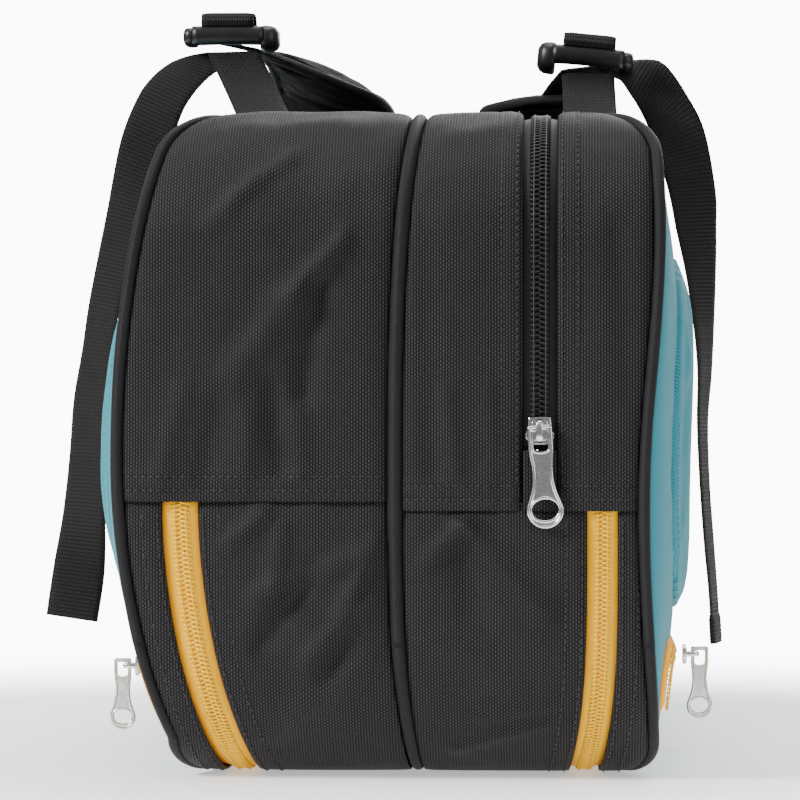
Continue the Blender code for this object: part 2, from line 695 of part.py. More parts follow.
def make_grab_handle(webbing):
    """A webbing loop on the far end that hangs from two sewn tabs."""
    turns = [-1 + 2 * i / 8 for i in range(9)]
    sagged = [(HANDLE_X + HANDLE_HALF * t, HANDLE_Z - HANDLE_SAG * (1 - t * t)) for t in turns]
    points = [Vector((x, HANDLE_Y, z)) for x, z in sagged]
    across = []
    for i in range(len(points)):
        along = (points[min(i + 1, 8)] - points[max(i - 1, 0)]).normalized()
        across.append(along.cross(Y) * HANDLE_WIDTH / 2)
    handle = ribbon("grab_handle", points, across, HANDLE_T, webbing)
    put_origin(handle, (HANDLE_X, HANDLE_Y, HANDLE_Z + 7 * MM))
    base = LENGTH / 2 + GAP
    for name, side in (("grab_handle_left_tab", -1), ("grab_handle_right_tab", 1)):
        bm = bmesh.new()
        x = HANDLE_X + side * (HANDLE_HALF + TAB_OUT)
        low = (x - TAB_HALF_X, base, HANDLE_Z - TAB_HALF_Z)
        box_between(bm, low, (x + TAB_HALF_X, base + TAB_T, HANDLE_Z + TAB_HALF_Z))
        finish_mesh(name, bm, webbing, False)


def main():
    clear_scene()
    black = material("black_nylon", (0.035, 0.033, 0.037), 0.75)
    teal = material("teal_twill", (0.10, 0.40, 0.44), 0.8)
    lining = material("lining", (0.05, 0.05, 0.055), 0.85)
    yellow = material("yellow_tape", (0.90, 0.50, 0.05), 0.7)
    bright = material("yellow_coil", (1.0, 0.60, 0.02), 0.5)
    silver = material("silver_metal", (0.78, 0.78, 0.78), 0.25, 1.0)
    plastic = material("black_plastic", (0.03, 0.03, 0.032), 0.4)
    webbing = material("black_webbing", (0.02, 0.02, 0.02), 0.7)
    fleece = material("black_fleece", (0.015, 0.015, 0.016), 0.9)
    make_left_half(black)
    make_right_half(black)
    make_zips(black, yellow, bright)
    make_faces(teal, lining)
    make_pockets(teal, yellow, bright)
    make_pipings(black)
    make_sliders(silver)
    make_straps(plastic, webbing, fleece)
    make_grab_handle(webbing)


main()
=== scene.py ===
from math import cos, hypot, pi, radians, sin, sqrt

import bmesh
import bpy
import numpy as np
from mathutils import Matrix, Vector


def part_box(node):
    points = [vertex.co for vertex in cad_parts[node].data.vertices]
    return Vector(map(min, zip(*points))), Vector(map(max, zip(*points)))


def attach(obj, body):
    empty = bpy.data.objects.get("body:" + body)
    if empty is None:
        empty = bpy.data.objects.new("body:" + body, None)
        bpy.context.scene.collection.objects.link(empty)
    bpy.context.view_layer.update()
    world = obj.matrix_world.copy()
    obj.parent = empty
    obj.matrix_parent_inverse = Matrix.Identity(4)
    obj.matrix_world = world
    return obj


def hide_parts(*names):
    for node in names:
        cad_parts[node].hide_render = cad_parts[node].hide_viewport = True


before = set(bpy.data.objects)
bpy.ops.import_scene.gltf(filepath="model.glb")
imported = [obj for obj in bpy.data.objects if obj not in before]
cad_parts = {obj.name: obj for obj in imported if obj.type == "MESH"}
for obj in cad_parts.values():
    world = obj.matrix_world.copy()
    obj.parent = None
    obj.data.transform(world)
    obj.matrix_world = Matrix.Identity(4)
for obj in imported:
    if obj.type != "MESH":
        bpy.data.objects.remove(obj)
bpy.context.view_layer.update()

MM = 0.001
X, Y, Z = Vector((1, 0, 0)), Vector((0, 1, 0)), Vector((0, 0, 1))

# ---------------------------------------------------------------- the shell, as the CAD has it
LENGTH, HEIGHT, CORNER = 540 * MM, 294 * MM, 60 * MM
CENTRE_X, MID_Z = 9.2 * MM, 147 * MM
BELLY_LEFT, BELLY_RIGHT = 116.2 * MM, 117.4 * MM
BULGE_LEFT, BULGE_RIGHT = 8.5 * MM, 14 * MM
BULGE_Z, BULGE_UP, BULGE_DOWN = 118 * MM, 150 * MM, 100 * MM
WALL, GAP = 2.6 * MM, 0.4 * MM
SEAM_LEFT, SEAM_RIGHT = 121 * MM, 117 * MM
EDGE_PIPING_R, MID_PIPING_R = 2.4 * MM, 3.0 * MM
FACE_INSET = 2 * EDGE_PIPING_R + 2 * GAP  # from the outline to a face's rim
TAPE_HALF = 11.5 * MM
MAIN_ZIP_X, MAIN_ZIP_LOW = CENTRE_X + 68.7 * MM, 144 * MM
MAIN_SLOT, MAIN_COIL = 7.6 * MM, 4.2 * MM
LEFT_SLOT, LEFT_COIL = 7.8 * MM, 3.9 * MM
RIGHT_SLOT, RIGHT_COIL = 6.6 * MM, 3.4 * MM
POCKET_LOW, POCKET_HIGH = 66 * MM, 236 * MM
POCKET_NEAR, POCKET_FAR = -222 * MM, 215 * MM
OVER_FACE = WALL / 2 + 1.3 * MM
POCKET_ZIPS = {"left": 46 * MM, "right": 52 * MM}
POCKET_ZIP_END, POCKET_TAPE_HALF, POCKET_COIL_HALF = 205 * MM, 8 * MM, 2.6 * MM
WEBBING, WEBBING_T, TAIL_Y = 25 * MM, 1.6 * MM, -91 * MM
PAD_WIDTH = 66 * MM
STRAIGHT_UP, STRAIGHT_ALONG = HEIGHT - 2 * CORNER, LENGTH - 2 * CORNER
ARC = CORNER * pi / 2
PERIMETER = 2 * (STRAIGHT_UP + STRAIGHT_ALONG) + 4 * ARC
FAR_FOOT = 2 * STRAIGHT_UP + STRAIGHT_ALONG + 2 * ARC
STEP = 3.2 * MM  # how far apart the points of a panel are
CLOTH_T, TAPE_T = 1.2 * MM, 0.7 * MM
TUCK = 4 * MM  # how far a lower panel runs up under the seam


def outline_at(s):
    """Points (y, z) and outward normals at arc lengths s, up the near end and over the top."""
    left = np.asarray(s, float) % PERIMETER
    y, z = np.full_like(left, -LENGTH / 2), np.full_like(left, CORNER)
    heading = np.full_like(left, pi / 2)
    for straight in (STRAIGHT_UP, STRAIGHT_ALONG, STRAIGHT_UP, STRAIGHT_ALONG):
        step = np.minimum(left, straight)
        y, z, left = y + np.cos(heading) * step, z + np.sin(heading) * step, left - step
        turn, outward = np.minimum(left / CORNER, pi / 2), heading + pi / 2
        y = y + CORNER * (np.cos(outward - turn) - np.cos(outward))
        z = z + CORNER * (np.sin(outward - turn) - np.sin(outward))
        heading, left = heading - turn, left - turn * CORNER
    return y, z, np.cos(heading + pi / 2), np.sin(heading + pi / 2)


def near_end(z):
    """Arc length at a height on the near end."""
    return z - CORNER


def far_end(z):
    """Arc length at a height on the far end."""
    return FAR_FOOT - (z - CORNER)


def rounding(z, low, high):
    """How far a side draws in near the foot and near the top, by its two radii."""
    below, over = np.maximum(low - z, 0), np.maximum(z - (HEIGHT - high), 0)
    foot = low - np.sqrt(np.maximum(low**2 - below**2, 0))
    return foot + high - np.sqrt(np.maximum(high**2 - over**2, 0))


def left_edge(y, z):
    waist = 142.4 * MM
    swell_x = np.where(z < waist, 31 * MM, 21.5 * MM)
    barrel = swell_x * ((np.maximum(z, 16 * MM) - waist) / MID_Z) ** 2
    return CENTRE_X - (BELLY_LEFT - barrel - rounding(z, 13 * MM, 18 * MM))


def right_edge(y, z):
    pinch = 117.8 * MM
    swing = np.where(z > pinch, 3.5 * MM, 2.4 * MM)
    wave = swing * (1 - np.cos(2 * pi * (z - pinch) / (246.5 * MM)))
    return CENTRE_X + BELLY_RIGHT - 3.5 * MM + wave - rounding(z, 13 * MM, 20 * MM)


def middle(y, z):
    """The centre piping's line, which leans over away from its waist."""
    waist = 133 * MM
    reach, lean = np.where(z > waist, 161 * MM, waist), np.where(z > waist, 9.1 * MM, 8.2 * MM)
    return CENTRE_X + 5.5 * MM + lean * (np.abs(z - waist) / reach) ** 2.7


def left_zip(y, z):
    """The left zip's line, which curves in towards the foot."""
    power = np.where(np.asarray(y) < 0, 1.9, 4.0)
    return CENTRE_X - 88 * MM + 23.7 * MM * np.maximum(1 - z / SEAM_LEFT, 0) ** power


def right_zip(y, z):
    return CENTRE_X + 95.9 * MM - 8.2 * MM * np.maximum(1 - z / SEAM_RIGHT, 0) ** 4


def main_zip(y, z):
    return MAIN_ZIP_X + 0 * z


def shifted(line, by):
    """The same line moved along x."""
    return lambda y, z: line(y, z) + by


def face_x(side, y, z):
    """Where a face lies: on the line of its edge, with a bulge between."""
    level = MID_Z + (z - MID_Z) * MID_Z / (MID_Z - FACE_INSET)  # the piping beside a rim point
    edge, bulge = (left_edge(y, level), -BULGE_LEFT) if side < 0 else (right_edge(y, level), BULGE_RIGHT)
    reach = np.where(z > BULGE_Z, BULGE_UP, BULGE_DOWN)
    across = np.maximum(1 - np.abs((z - BULGE_Z) / reach) ** 2.2, 0)
    return edge + bulge * (1 - np.abs(2 * y / LENGTH) ** 10) * across


# ---------------------------------------------------------------- looks


class Nodes:
    """A node tree, built up node by node."""

    def __init__(self, tree):
        self.tree = tree

    def node(self, kind, inputs=(), **settings):
        made = self.tree.nodes.new("ShaderNode" + kind)
        for key, value in settings.items():
            setattr(made, key, value)
        for key, value in dict(inputs).items():
            self.put(made.inputs[key], value)
        return made

    def put(self, socket, value):
        if isinstance(value, bpy.types.NodeSocket):
            self.tree.links.new(value, socket)
        else:
            socket.default_value = value


class Look(Nodes):
    """A procedural material."""

    def __init__(self, name, roughness, specular=0.5, sheen=0.0, metallic=0.0):
        self.material = bpy.data.materials.new(name)
        self.material.use_nodes = True
        super().__init__(self.material.node_tree)
        self.shader = self.tree.nodes["Principled BSDF"]
        for key, value in (("Roughness", roughness), ("Metallic", metallic), ("Sheen Weight", sheen),
                           ("Sheen Roughness", 0.4), ("Specular IOR Level", specular)):
            self.set(key, value)
        self.normal = None

    def set(self, key, value):
        self.put(self.shader.inputs[key], value)

    def math(self, operation, a, b=0.0):
        return self.node("Math", {0: a, 1: b}, operation=operation).outputs[0]

    def times(self, a, b):
        return self.math("MULTIPLY", a, b)

    def ramp(self, value, low, high):
        """value, from 0 to 1, spread from low to high."""
        return self.math("ADD", self.times(value, high - low), low)

    def mix(self, share, a, b):
        """A colour from a to b; the colour sockets of a Mix node are its inputs 6 and 7, output 2."""
        return self.node("Mix", {"Factor": share, 6: a, 7: b}, data_type="RGBA").outputs[2]

    def noise(self, vector, scale, detail=2.0):
        return self.node("TexNoise", {"Vector": vector, "Scale": scale, "Detail": detail}).outputs["Fac"]

    def plane(self, axes):
        """Two coordinates in metres: of the weave map, or of two of the object's axes."""
        if axes == "uv":
            source, axes = self.node("UVMap", uv_map="weave").outputs[0], "XY"
        else:
            source = self.node("TexCoord").outputs["Object"]
        parts = self.node("SeparateXYZ", {0: source})
        return source, parts.outputs[axes[0]], parts.outputs[axes[1]]

    def wave(self, operation, coordinate, pitch, turns=2):
        """A sine or cosine of a coordinate; turns of 1 makes its sign change at every pitch."""
        return self.math(operation, self.times(coordinate, turns * pi / pitch))

    def weave(self, u, v, pitch_u, pitch_v):
        """Height of a plain weave, from 0 in its gaps to 1 on its threads."""
        waves = self.wave("SINE", u, pitch_u, 1), self.wave("SINE", v, pitch_v, 1)
        size = [self.math("ABSOLUTE", wave) for wave in waves]
        over = self.math("GREATER_THAN", self.times(*waves))
        warp, weft = (self.times(self.math("POWER", a, 0.8), self.math("POWER", b, 0.3))
                      for a, b in (size, size[::-1]))
        return self.math("ADD", weft, self.times(over, self.math("SUBTRACT", warp, weft)))

    def ribbed(self, u, v, pitch_u, pitch_v):
        """Height of ribs along v, notched in turn, from 0 to 1."""
        turn = self.wave("COSINE", u, pitch_u, 1)
        notch = self.times(self.wave("COSINE", v, pitch_v), turn)
        return self.times(self.ramp(self.wave("COSINE", u, pitch_u), 0.5, 1.0), self.ramp(notch, 0.6, 1.0))

    def lines(self, coordinate, pitch):
        """Height of parallel ridges."""
        return self.ramp(self.wave("SINE", coordinate, pitch), 0.5, 1.0)

    def bump(self, height, distance, strength=1.0):
        made = self.node("Bump", {"Height": height, "Distance": distance, "Strength": strength})
        if self.normal is not None:
            self.put(made.inputs["Normal"], self.normal)
        self.normal = made.outputs[0]
        self.set("Normal", self.normal)


def rgb(r, g, b):
    return (r, g, b, 1.0)


RELIEF = None  # stands for a surface's own relief where a noise (scale, detail) could be


def surface(name, shine, low, high, ground, rough, bumps, axes="XY", relief=None, share=None, cloud=None):
    """A look painted from low to high over its ground, which is its relief or a noise; over its relief, the
    low colour is painted shade in the relief's gaps.

    shine: roughness, specular, sheen and metallic. rough: (noise, least, most) or None.
    bumps: (noise or RELIEF, depth in mm, strength). cloud: (noise, most, colour) laid over the ground.
    """
    look = Look(name, *shine)
    source, u, v = look.plane(axes)
    fields = {RELIEF: relief(look, u, v) if relief else None}

    def field(kind):
        if kind not in fields:
            fields[kind] = look.noise(source, *kind)
        return fields[kind]

    colour = look.mix(share(look, field(ground)) if share else field(ground), rgb(*low), rgb(*high))
    if cloud:
        noise, most, over = cloud
        colour = look.mix(look.ramp(field(noise), 0.0, most), colour, rgb(*over))
    look.set("Base Color", colour)
    if rough:
        noise, least, most = rough
        look.set("Roughness", look.ramp(field(noise), least, most))
    for kind, depth, strength in bumps:
        look.bump(field(kind), depth * MM, strength)
    return look.material


def tape_look(name, edge, centre, half):
    """Woven zip tape, with painted shade deepening its colour towards its two edges and in the gaps of its
    weave.
    """
    look = Look(name, 0.55, sheen=0.03, specular=0.2)
    _, u, v = look.plane("uv")
    height = look.weave(u, v, 0.7 * MM, 0.55 * MM)
    # painted shade: the colour runs to the edge colour towards the tape's edges and in the gaps of its weave
    out = look.math("POWER", look.math("DIVIDE", look.math("ABSOLUTE", u), half), 2.2)
    shade = look.math("ADD", look.math("MINIMUM", out, 1.0), look.times(height, -0.25))
    look.set("Base Color", look.mix(look.math("MAXIMUM", shade, 0.0), rgb(*centre), rgb(*edge)))
    look.bump(height, 0.12 * MM, 0.6)
    return look.material


def coil_look(name, colour, dark):
    worn = (220.0, 2.0)
    return surface(name, (0.28, 0.3), colour, dark, worn, (worn, 0.28, 0.46), (((2500.0, 2.0), 0.03, 0.4),),
                   share=lambda look, value: look.ramp(value, 0.0, 0.5))


def thread_look(name, colour):
    strand, shadow = (1500.0, 2.0), 0.55
    dark = [c * shadow for c in colour]
    return surface(name, (0.5, 0.5, 0.1), colour, dark, strand, None, ((strand, 0.05, 0.6),))


def paper_look():
    """The floor: plain paper that glows into the white air round it and fades out there."""
    look = Look("pale_floor_paper", 0.85)
    source = look.node("TexCoord").outputs["Object"]
    look.set("Base Color", look.mix(look.noise(source, 6.0), rgb(0.88, 0.88, 0.88), rgb(0.92, 0.92, 0.92)))
    look.bump(look.noise(source, 400.0), 0.05 * MM, 0.2)
    look.set("Emission Color", rgb(1, 1, 1))
    away = look.node("VectorMath", {0: source}, operation="LENGTH").outputs["Value"]
    ends = {"Value": away, "From Min": 0.32, "From Max": 1.0}
    fade = look.node("MapRange", ends, interpolation_type="SMOOTHSTEP").outputs[0]
    look.set("Emission Strength", look.ramp(fade, 0.55, 7.0))
    look.set("Alpha", look.math("SUBTRACT", 1.0, fade))
    return look.material


CLOUDS, DUST, PILE, TUFTS = (28.0, 3.0), (16.0, 3.0), (700.0, 4.0), (120.0, 3.0)
MOULDED, CAST = (90.0, 3.0), (260.0, 4.0)
# painted shade: the first colour lies in the gaps of the weave, the second on its threads
NYLON = surface(
    "black_nylon_weave", (0.6, 0.16, 0.02), (0.0003, 0.0003, 0.0004), (0.066, 0.0605, 0.068), RELIEF,
    (CLOUDS, 0.5, 0.68), ((RELIEF, 0.35, 1.0), ((900.0, 2.0), 0.08, 0.4)), "uv",
    lambda look, u, v: look.ribbed(u, v, 1.25 * MM, 1.7 * MM),
    share=lambda look, height: look.math("POWER", height, 1.5), cloud=(CLOUDS, 0.3, (0.008, 0.0074, 0.0085)),
)
# painted shade: the first colour lies between the herringbone's ridges, the second on them
HERRINGBONE = surface(
    "black_herringbone", (0.55, 0.14, 0.02), (0.0004, 0.0004, 0.0005), (0.028, 0.026, 0.029), RELIEF,
    None, ((RELIEF, 0.2, 0.7),), "uv",
    lambda look, u, v: look.lines(
        look.math("ADD", look.math("ABSOLUTE", look.math("SUBTRACT", u, 1.5 * MM)), v), 1.25 * MM),
    cloud=((40.0, 2.0), 0.3, (0.004, 0.0038, 0.0042)),
)
# painted shade: the first colour lies in the gaps of the webbing's weave, the second on its threads
WOVEN = surface(
    "black_webbing_weave", (0.6, 0.12, 0.01), (0.0002, 0.0002, 0.0002), (0.0190, 0.0172, 0.0160), RELIEF,
    ((60.0, 2.0), 0.48, 0.66), ((RELIEF, 0.35, 0.9), ((1400.0, 2.0), 0.06, 0.5)), "uv",
    lambda look, u, v: look.weave(u, v, 1.3 * MM, 1.85 * MM),
)
# painted shade: the pile's colour follows its bump, darker in its hollows
FLEECE = surface(
    "black_fleece_pile", (0.9, 0.1, 0.06), (0.001, 0.001, 0.0012), (0.008, 0.008, 0.009), PILE,
    (TUFTS, 0.82, 0.98), ((TUFTS, 0.6, 0.6), (PILE, 0.3, 0.8)),
)
PLASTIC = surface(
    "black_plastic_moulded", (0.34, 0.38), (0.003, 0.003, 0.0033), (0.012, 0.0117, 0.0123), MOULDED,
    (MOULDED, 0.3, 0.46), (((1800.0, 2.0), 0.05, 0.5),),
)
METAL = surface(
    "silver_cast_metal", (0.2, 0.5, 0.0, 1.0), (0.84, 0.83, 0.81), (0.42, 0.41, 0.40), CAST,
    (CAST, 0.12, 0.34), (((900.0, 3.0), 0.03, 0.4),), share=lambda look, value: look.ramp(value, -0.2, 1.0),
)
# painted shade: the first colour lies in the gaps of the weave, the second on its threads
LINING = surface(
    "lining_weave", (0.8, 0.3), (0.02, 0.02, 0.022), (0.06, 0.06, 0.064), RELIEF,
    ((30.0, 2.0), 0.7, 0.88), ((RELIEF, 0.12, 0.6),), "YZ",
    lambda look, u, v: look.weave(u, v, 0.9 * MM, 0.9 * MM),
)
# painted shade: the first colour lies between the twill's ridges, the second on them
TEAL = surface(
    "teal_twill_weave", (0.62, 0.35, 0.1), (0.006, 0.13, 0.17), (0.02, 0.28, 0.345), RELIEF,
    (DUST, 0.55, 0.72), ((RELIEF, 0.16, 0.7),), "YZ",
    lambda look, u, v: look.lines(look.math("ADD", u, look.times(v, 0.8)), 1.3 * MM),
    cloud=(DUST, 0.35, (0.006, 0.13, 0.17)),
)
# The first colour of each tape is painted shade at its edges, the second its own colour in the middle.
YELLOW_TAPE = tape_look("yellow_tape_weave", (0.78, 0.25, 0.0), (0.97, 0.53, 0.0), 8 * MM)
BLACK_TAPE = tape_look("black_tape_weave", (0.003, 0.003, 0.0035), (0.011, 0.0105, 0.0115), 8 * MM)
YELLOW_COIL = coil_look("yellow_coil_nylon", (1.0, 0.60, 0.0), (0.80, 0.38, 0.0))
BLACK_COIL = coil_look("black_coil_nylon", (0.008, 0.008, 0.0085), (0.003, 0.003, 0.0035))
BLACK_THREAD = thread_look("black_thread", (0.004, 0.0038, 0.004))
PALE_THREAD = thread_look("pale_yellow_thread", (1.0, 0.62, 0.0))
GREY_THREAD = thread_look("dark_grey_thread", (0.028, 0.028, 0.029))

# ---------------------------------------------------------------- mesh builders


def grid(points, uv, wrap_rows=False, wrap_columns=False):
    """Points, faces and map of a rectangular array of points."""
    rows, columns = points.shape[:2]
    index = np.arange(rows * columns).reshape(rows, columns)
    if wrap_rows:
        index = np.vstack([index, index[:1]])
    if wrap_columns:
        index = np.hstack([index, index[:, :1]])
    faces = np.stack([index[:-1, :-1], index[:-1, 1:], index[1:, 1:], index[1:, :-1]], -1)
    return points.reshape(-1, 3), faces.reshape(-1, 4).tolist(), uv.reshape(-1, 2)


def unit(rows):
    return rows / np.linalg.norm(rows, axis=-1)[..., None]


def spread(*parts):
    return np.stack(np.broadcast_arrays(*parts), -1)


def lengths(path):
    """How far along a path each of its points is."""
    return np.concatenate([[0], np.cumsum(np.linalg.norm(np.diff(path, axis=0), axis=1))])


def capped(part, sides):
    """A tube of so many sides with both its ends closed."""
    points, faces, uv = part
    return points, faces + [list(range(sides)), [len(points) - 1 - i for i in range(sides)]], uv


def build(name, parts, look, closed=True, bevel=0.0, sharp=None):
    """One object from (points, faces, map) parts."""
    points, faces, maps, base = [], [], [], 0
    for spots, corners, uv in parts:
        spots = np.asarray(spots, float)
        points.append(spots)
        maps.append(spots[:, :2] if uv is None else np.asarray(uv, float))
        faces += [[base + i for i in face] for face in corners]
        base += len(spots)
    mesh = bpy.data.meshes.new(name)
    mesh.from_pydata(np.vstack(points).tolist(), [], faces)
    corner = np.zeros(len(mesh.loops), np.int32)
    mesh.loops.foreach_get("vertex_index", corner)
    layer = mesh.uv_layers.new(name="weave")
    layer.data.foreach_set("uv", np.vstack(maps)[corner].astype(np.float32).ravel())
    if closed:
        bm = bmesh.new()
        bm.from_mesh(mesh)
        bmesh.ops.recalc_face_normals(bm, faces=bm.faces)
        bm.to_mesh(mesh)
        bm.free()
    mesh.materials.append(look)
    mesh.shade_smooth()
    if sharp:
        mesh.set_sharp_from_angle(angle=sharp)
    made = bpy.data.objects.new(name, mesh)
    bpy.context.scene.collection.objects.link(made)
    if bevel:
        modifier = made.modifiers.new("Rounding", "BEVEL")
        modifier.width, modifier.segments, modifier.limit_method = bevel, 3, "ANGLE"
    return made


def settle(made, body, slot, *nodes):
    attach(made, body)
    if nodes:
        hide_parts(*nodes)
    return made


def piece(name, parts, look, slot, *nodes, body="bag", thick=0.0):
    """A built object, settled; an open sheet is given its thickness."""
    made = build(name, parts, look, closed=not thick)
    if thick:
        modifier = made.modifiers.new("Thickness", "SOLIDIFY")
        modifier.thickness, modifier.offset = thick, -1
    return settle(made, body, slot, *nodes)


def ripple(a, b, seed, size):
    """Smooth unevenness of about one unit over a and b, in waves about size long."""
    draw, total = np.random.default_rng(seed), 0
    for _ in range(7):
        turn, phase, stretch = draw.uniform(0, 2 * pi), draw.uniform(0, 2 * pi), draw.uniform(0.7, 1.6)
        total = total + np.sin(2 * pi * (a * cos(turn) + b * sin(turn)) / (size * stretch) + phase)
    return total / 3.5


def tube_part(points, radius, sides=8, closed=False):
    """A round tube along points."""
    path = np.asarray(points, float)
    along = unit(np.roll(path, -1, 0) - np.roll(path, 1, 0) if closed else np.gradient(path, axis=0))
    current = np.array([0.0, 0.0, 1.0]) if abs(along[0][2]) < 0.9 else np.array([1.0, 0.0, 0.0])
    first = np.zeros_like(path)
    for i, direction in enumerate(along):
        current = unit(current - direction * (current @ direction))
        first[i] = current
    second = np.cross(along, first)
    turns = 2 * pi * np.arange(sides) / sides
    radii = np.broadcast_to(np.asarray(radius, float), (len(path),))[:, None, None]
    ring = first[:, None] * np.cos(turns)[None, :, None] + second[:, None] * np.sin(turns)[None, :, None]
    uv = spread(turns[None, :] * np.mean(radii), lengths(path)[:, None])
    part = grid(path[:, None] + radii * ring, uv, wrap_rows=closed, wrap_columns=True)
    return part if closed else capped(part, sides)


def stamp(template, places):
    """Copies of a part at many places, each a (rotation rows, point)."""
    points, faces, _ = template
    count = len(points)
    spots, copies = [], []
    for i, (turned, where) in enumerate(places):
        spots.append(points @ turned + where)
        copies += [[corner + i * count for corner in face] for face in faces]
    spots = np.vstack(spots)
    return spots, copies, spots[:, :2]


def smooth_route(rows, step):
    """Rows (point first, then anything else) on a smooth curve, about step apart."""
    rows = np.asarray(rows, float)
    ends = np.vstack([2 * rows[0] - rows[1], rows, 2 * rows[-1] - rows[-2]])
    dense = []
    for a, b, c, d in zip(ends, ends[1:], ends[2:], ends[3:]):
        for t in np.linspace(0, 1, 24, endpoint=False):
            cubic = (2 * b) + (c - a) * t + (2 * a - 5 * b + 4 * c - d) * t**2
            dense.append(0.5 * (cubic + (3 * b - a - 3 * c + d) * t**3))
    dense = np.array(dense + [rows[-1]])
    gone = lengths(dense[:, :3])
    count = max(int(gone[-1] / step), 3)
    wanted = np.linspace(0, gone[-1], count + 1)
    return np.stack([np.interp(wanted, gone, column) for column in dense.T], -1), wanted


RIB = 1.85 * MM
HEM_SOFT, HEM_FULL = 0.5 * MM, 0.45  # how gradually, and by what share, webbing thickens at a hem


def ribbon_part(rows, thickness, rib=0.16 * MM, hems=(0, 0), columns=9, pitch=RIB):
    """Webbing along rows of (point, half-width vector), with cross ribs and doubled hems."""
    rows, gone = smooth_route(rows, pitch / 4)
    centre, half = rows[:, :3], rows[:, 3:6]
    normal = unit(np.cross(unit(np.gradient(centre, axis=0)), half))
    deep = np.full_like(gone, thickness / 2)
    for length, distance in zip(hems, (gone, gone[-1] - gone)):
        if length:
            deep += HEM_FULL * thickness / (1 + np.exp((distance - length) / HEM_SOFT))
    deep = deep + rib * (np.abs(np.sin(pi * gone / pitch)) - 0.5)
    turns = np.linspace(-1, 1, columns)
    edge = np.sqrt(np.clip(1 - np.abs(turns) ** 10, 0, 1)) * 0.5 + 0.5
    both = np.concatenate([turns, turns[::-1]])
    out = np.concatenate([edge, -edge])
    spots = np.stack([centre + half * t + normal * (deep * e)[:, None] for t, e in zip(both, out)], 1)
    u = both[None, :] * np.linalg.norm(half, axis=1)[:, None]
    return capped(grid(spots, spread(u, gone[:, None]), wrap_columns=True), 2 * columns)


def extruded(loops, low, high, place):
    """A plate from an outer loop and its holes, placed by a matrix."""
    bm = bmesh.new()
    for loop in loops:
        corners = [bm.verts.new((x, y, low)) for x, y in loop]
        for i, corner in enumerate(corners):
            bm.edges.new((corner, corners[(i + 1) % len(corners)]))
    bmesh.ops.triangle_fill(bm, use_beauty=True, edges=bm.edges)
    raised = bmesh.ops.extrude_face_region(bm, geom=bm.faces[:])
    top = [item for item in raised["geom"] if isinstance(item, bmesh.types.BMVert)]
    bmesh.ops.translate(bm, verts=top, vec=(0, 0, high - low))
    bm.transform(place)
    bm.verts.index_update()
    points = np.array([vert.co for vert in bm.verts])
    faces = [[vert.index for vert in face.verts] for face in bm.faces]
    bm.free()
    return points, faces, None


def moved(part, place):
    points, faces, maps = part
    matrix = np.array(place)
    return points @ matrix[:3, :3].T + matrix[:3, 3], faces, maps


# ---------------------------------------------------------------- fabric panels of the shell

HEM_STITCH = 9 * MM
SEAM_ROWS = (5 * MM, 11 * MM)
STITCH, STITCH_LONG, STITCH_R = 3.4 * MM, 2.5 * MM, 0.34 * MM
# Soft folds on the near end: from (x, z) to (x, z), half width and height, in mm
NEAR_FOLDS = (
    (-7, 236, -30, 210, 3.5, 1.7), (-30, 210, -58, 172, 7, 1.5), (-18, 216, -25, 168, 5, -1.8),
    (-30, 271, -56, 252, 3, 0.9), (-46, 262, -66, 240, 4, 0.6), (-78, 168, -88, 130, 5, 1.0),
    (-60, 168, -68, 132, 5, -0.9), (-39, 172, -35, 136, 4, -1.3), (-28, 160, -26, 134, 4, 0.8),
    (-49, 158, -50, 136, 4, 0.9), (8, 104, -8, 72, 4, 2.2), (6, 78, -24, 52, 4, 2.0),
    (0, 98, -46, 80, 3.5, 1.8), (-42, 116, -60, 101, 3.5, 1.5), (-20, 92, -44, 58, 5, -1.6),
    (4, 52, -30, 28, 4.5, 1.6), (-34, 110, -38, 84, 3.5, 1.2), (-4, 68, -18, 40, 4, -1.2),
    (26, 92, 45, 111, 3.5, 1.5), (45, 111, 80, 74, 3.8, 1.6), (45, 98, 48, 76, 7, -1.5),
    (26, 76, 22, 56, 4, 0.8), (30, 60, 66, 44, 5, 0.8), (40, 13, 82, 25, 2.2, 1.5),
    (52, 28, 84, 33, 2.5, 1.2), (20, 20, 46, 12, 2.5, 0.8), (-30, 22, -52, 15, 3, 0.6),
    (37, 168, 41, 134, 4, 1.0), (30, 166, 31, 134, 4, -0.9), (27, 250, 31, 176, 5, -0.8),
    (56, 170, 57, 132, 3.5, 0.8), (112, 240, 117, 170, 5, -1.0), (100, 166, 99, 128, 4, 0.8),
    (-52, 284, 0, 284, 5, 0.6), (36, 280, 62, 284, 4, 0.7),
)


FOLD_LIFT = 2.2  # the folds stand this much higher than their table says


def fold_rise(x, z):
    """How high the soft folds stand at a point of the near end."""
    total = np.zeros(np.broadcast(x, z).shape)
    for x0, z0, x1, z1, width, height in NEAR_FOLDS:
        dx, dz = x1 - x0, z1 - z0
        px, pz = x / MM - x0, z / MM - z0
        t = np.clip((px * dx + pz * dz) / hypot(dx, dz) ** 2, 0, 1)
        away = (px - t * dx) ** 2 + (pz - t * dz) ** 2
        total = total + FOLD_LIFT * height * MM * np.exp(-away / width**2)
    return total


def edge_drop(distance, kind):
    """How far a panel dips beside a piping, or over the doubled cloth of a hem."""
    if kind == "piping":
        return 1.9 * MM * np.exp(-distance / (1.5 * MM))
    if kind == "hem":
        dent = 0.4 * MM * np.exp(-(((distance - HEM_STITCH) / MM) ** 2))
        return 1.0 * MM * np.exp(-((distance / (0.8 * MM)) ** 2)) + dent - 0.5 * MM * (distance < HEM_STITCH)
    return 0.0 * distance


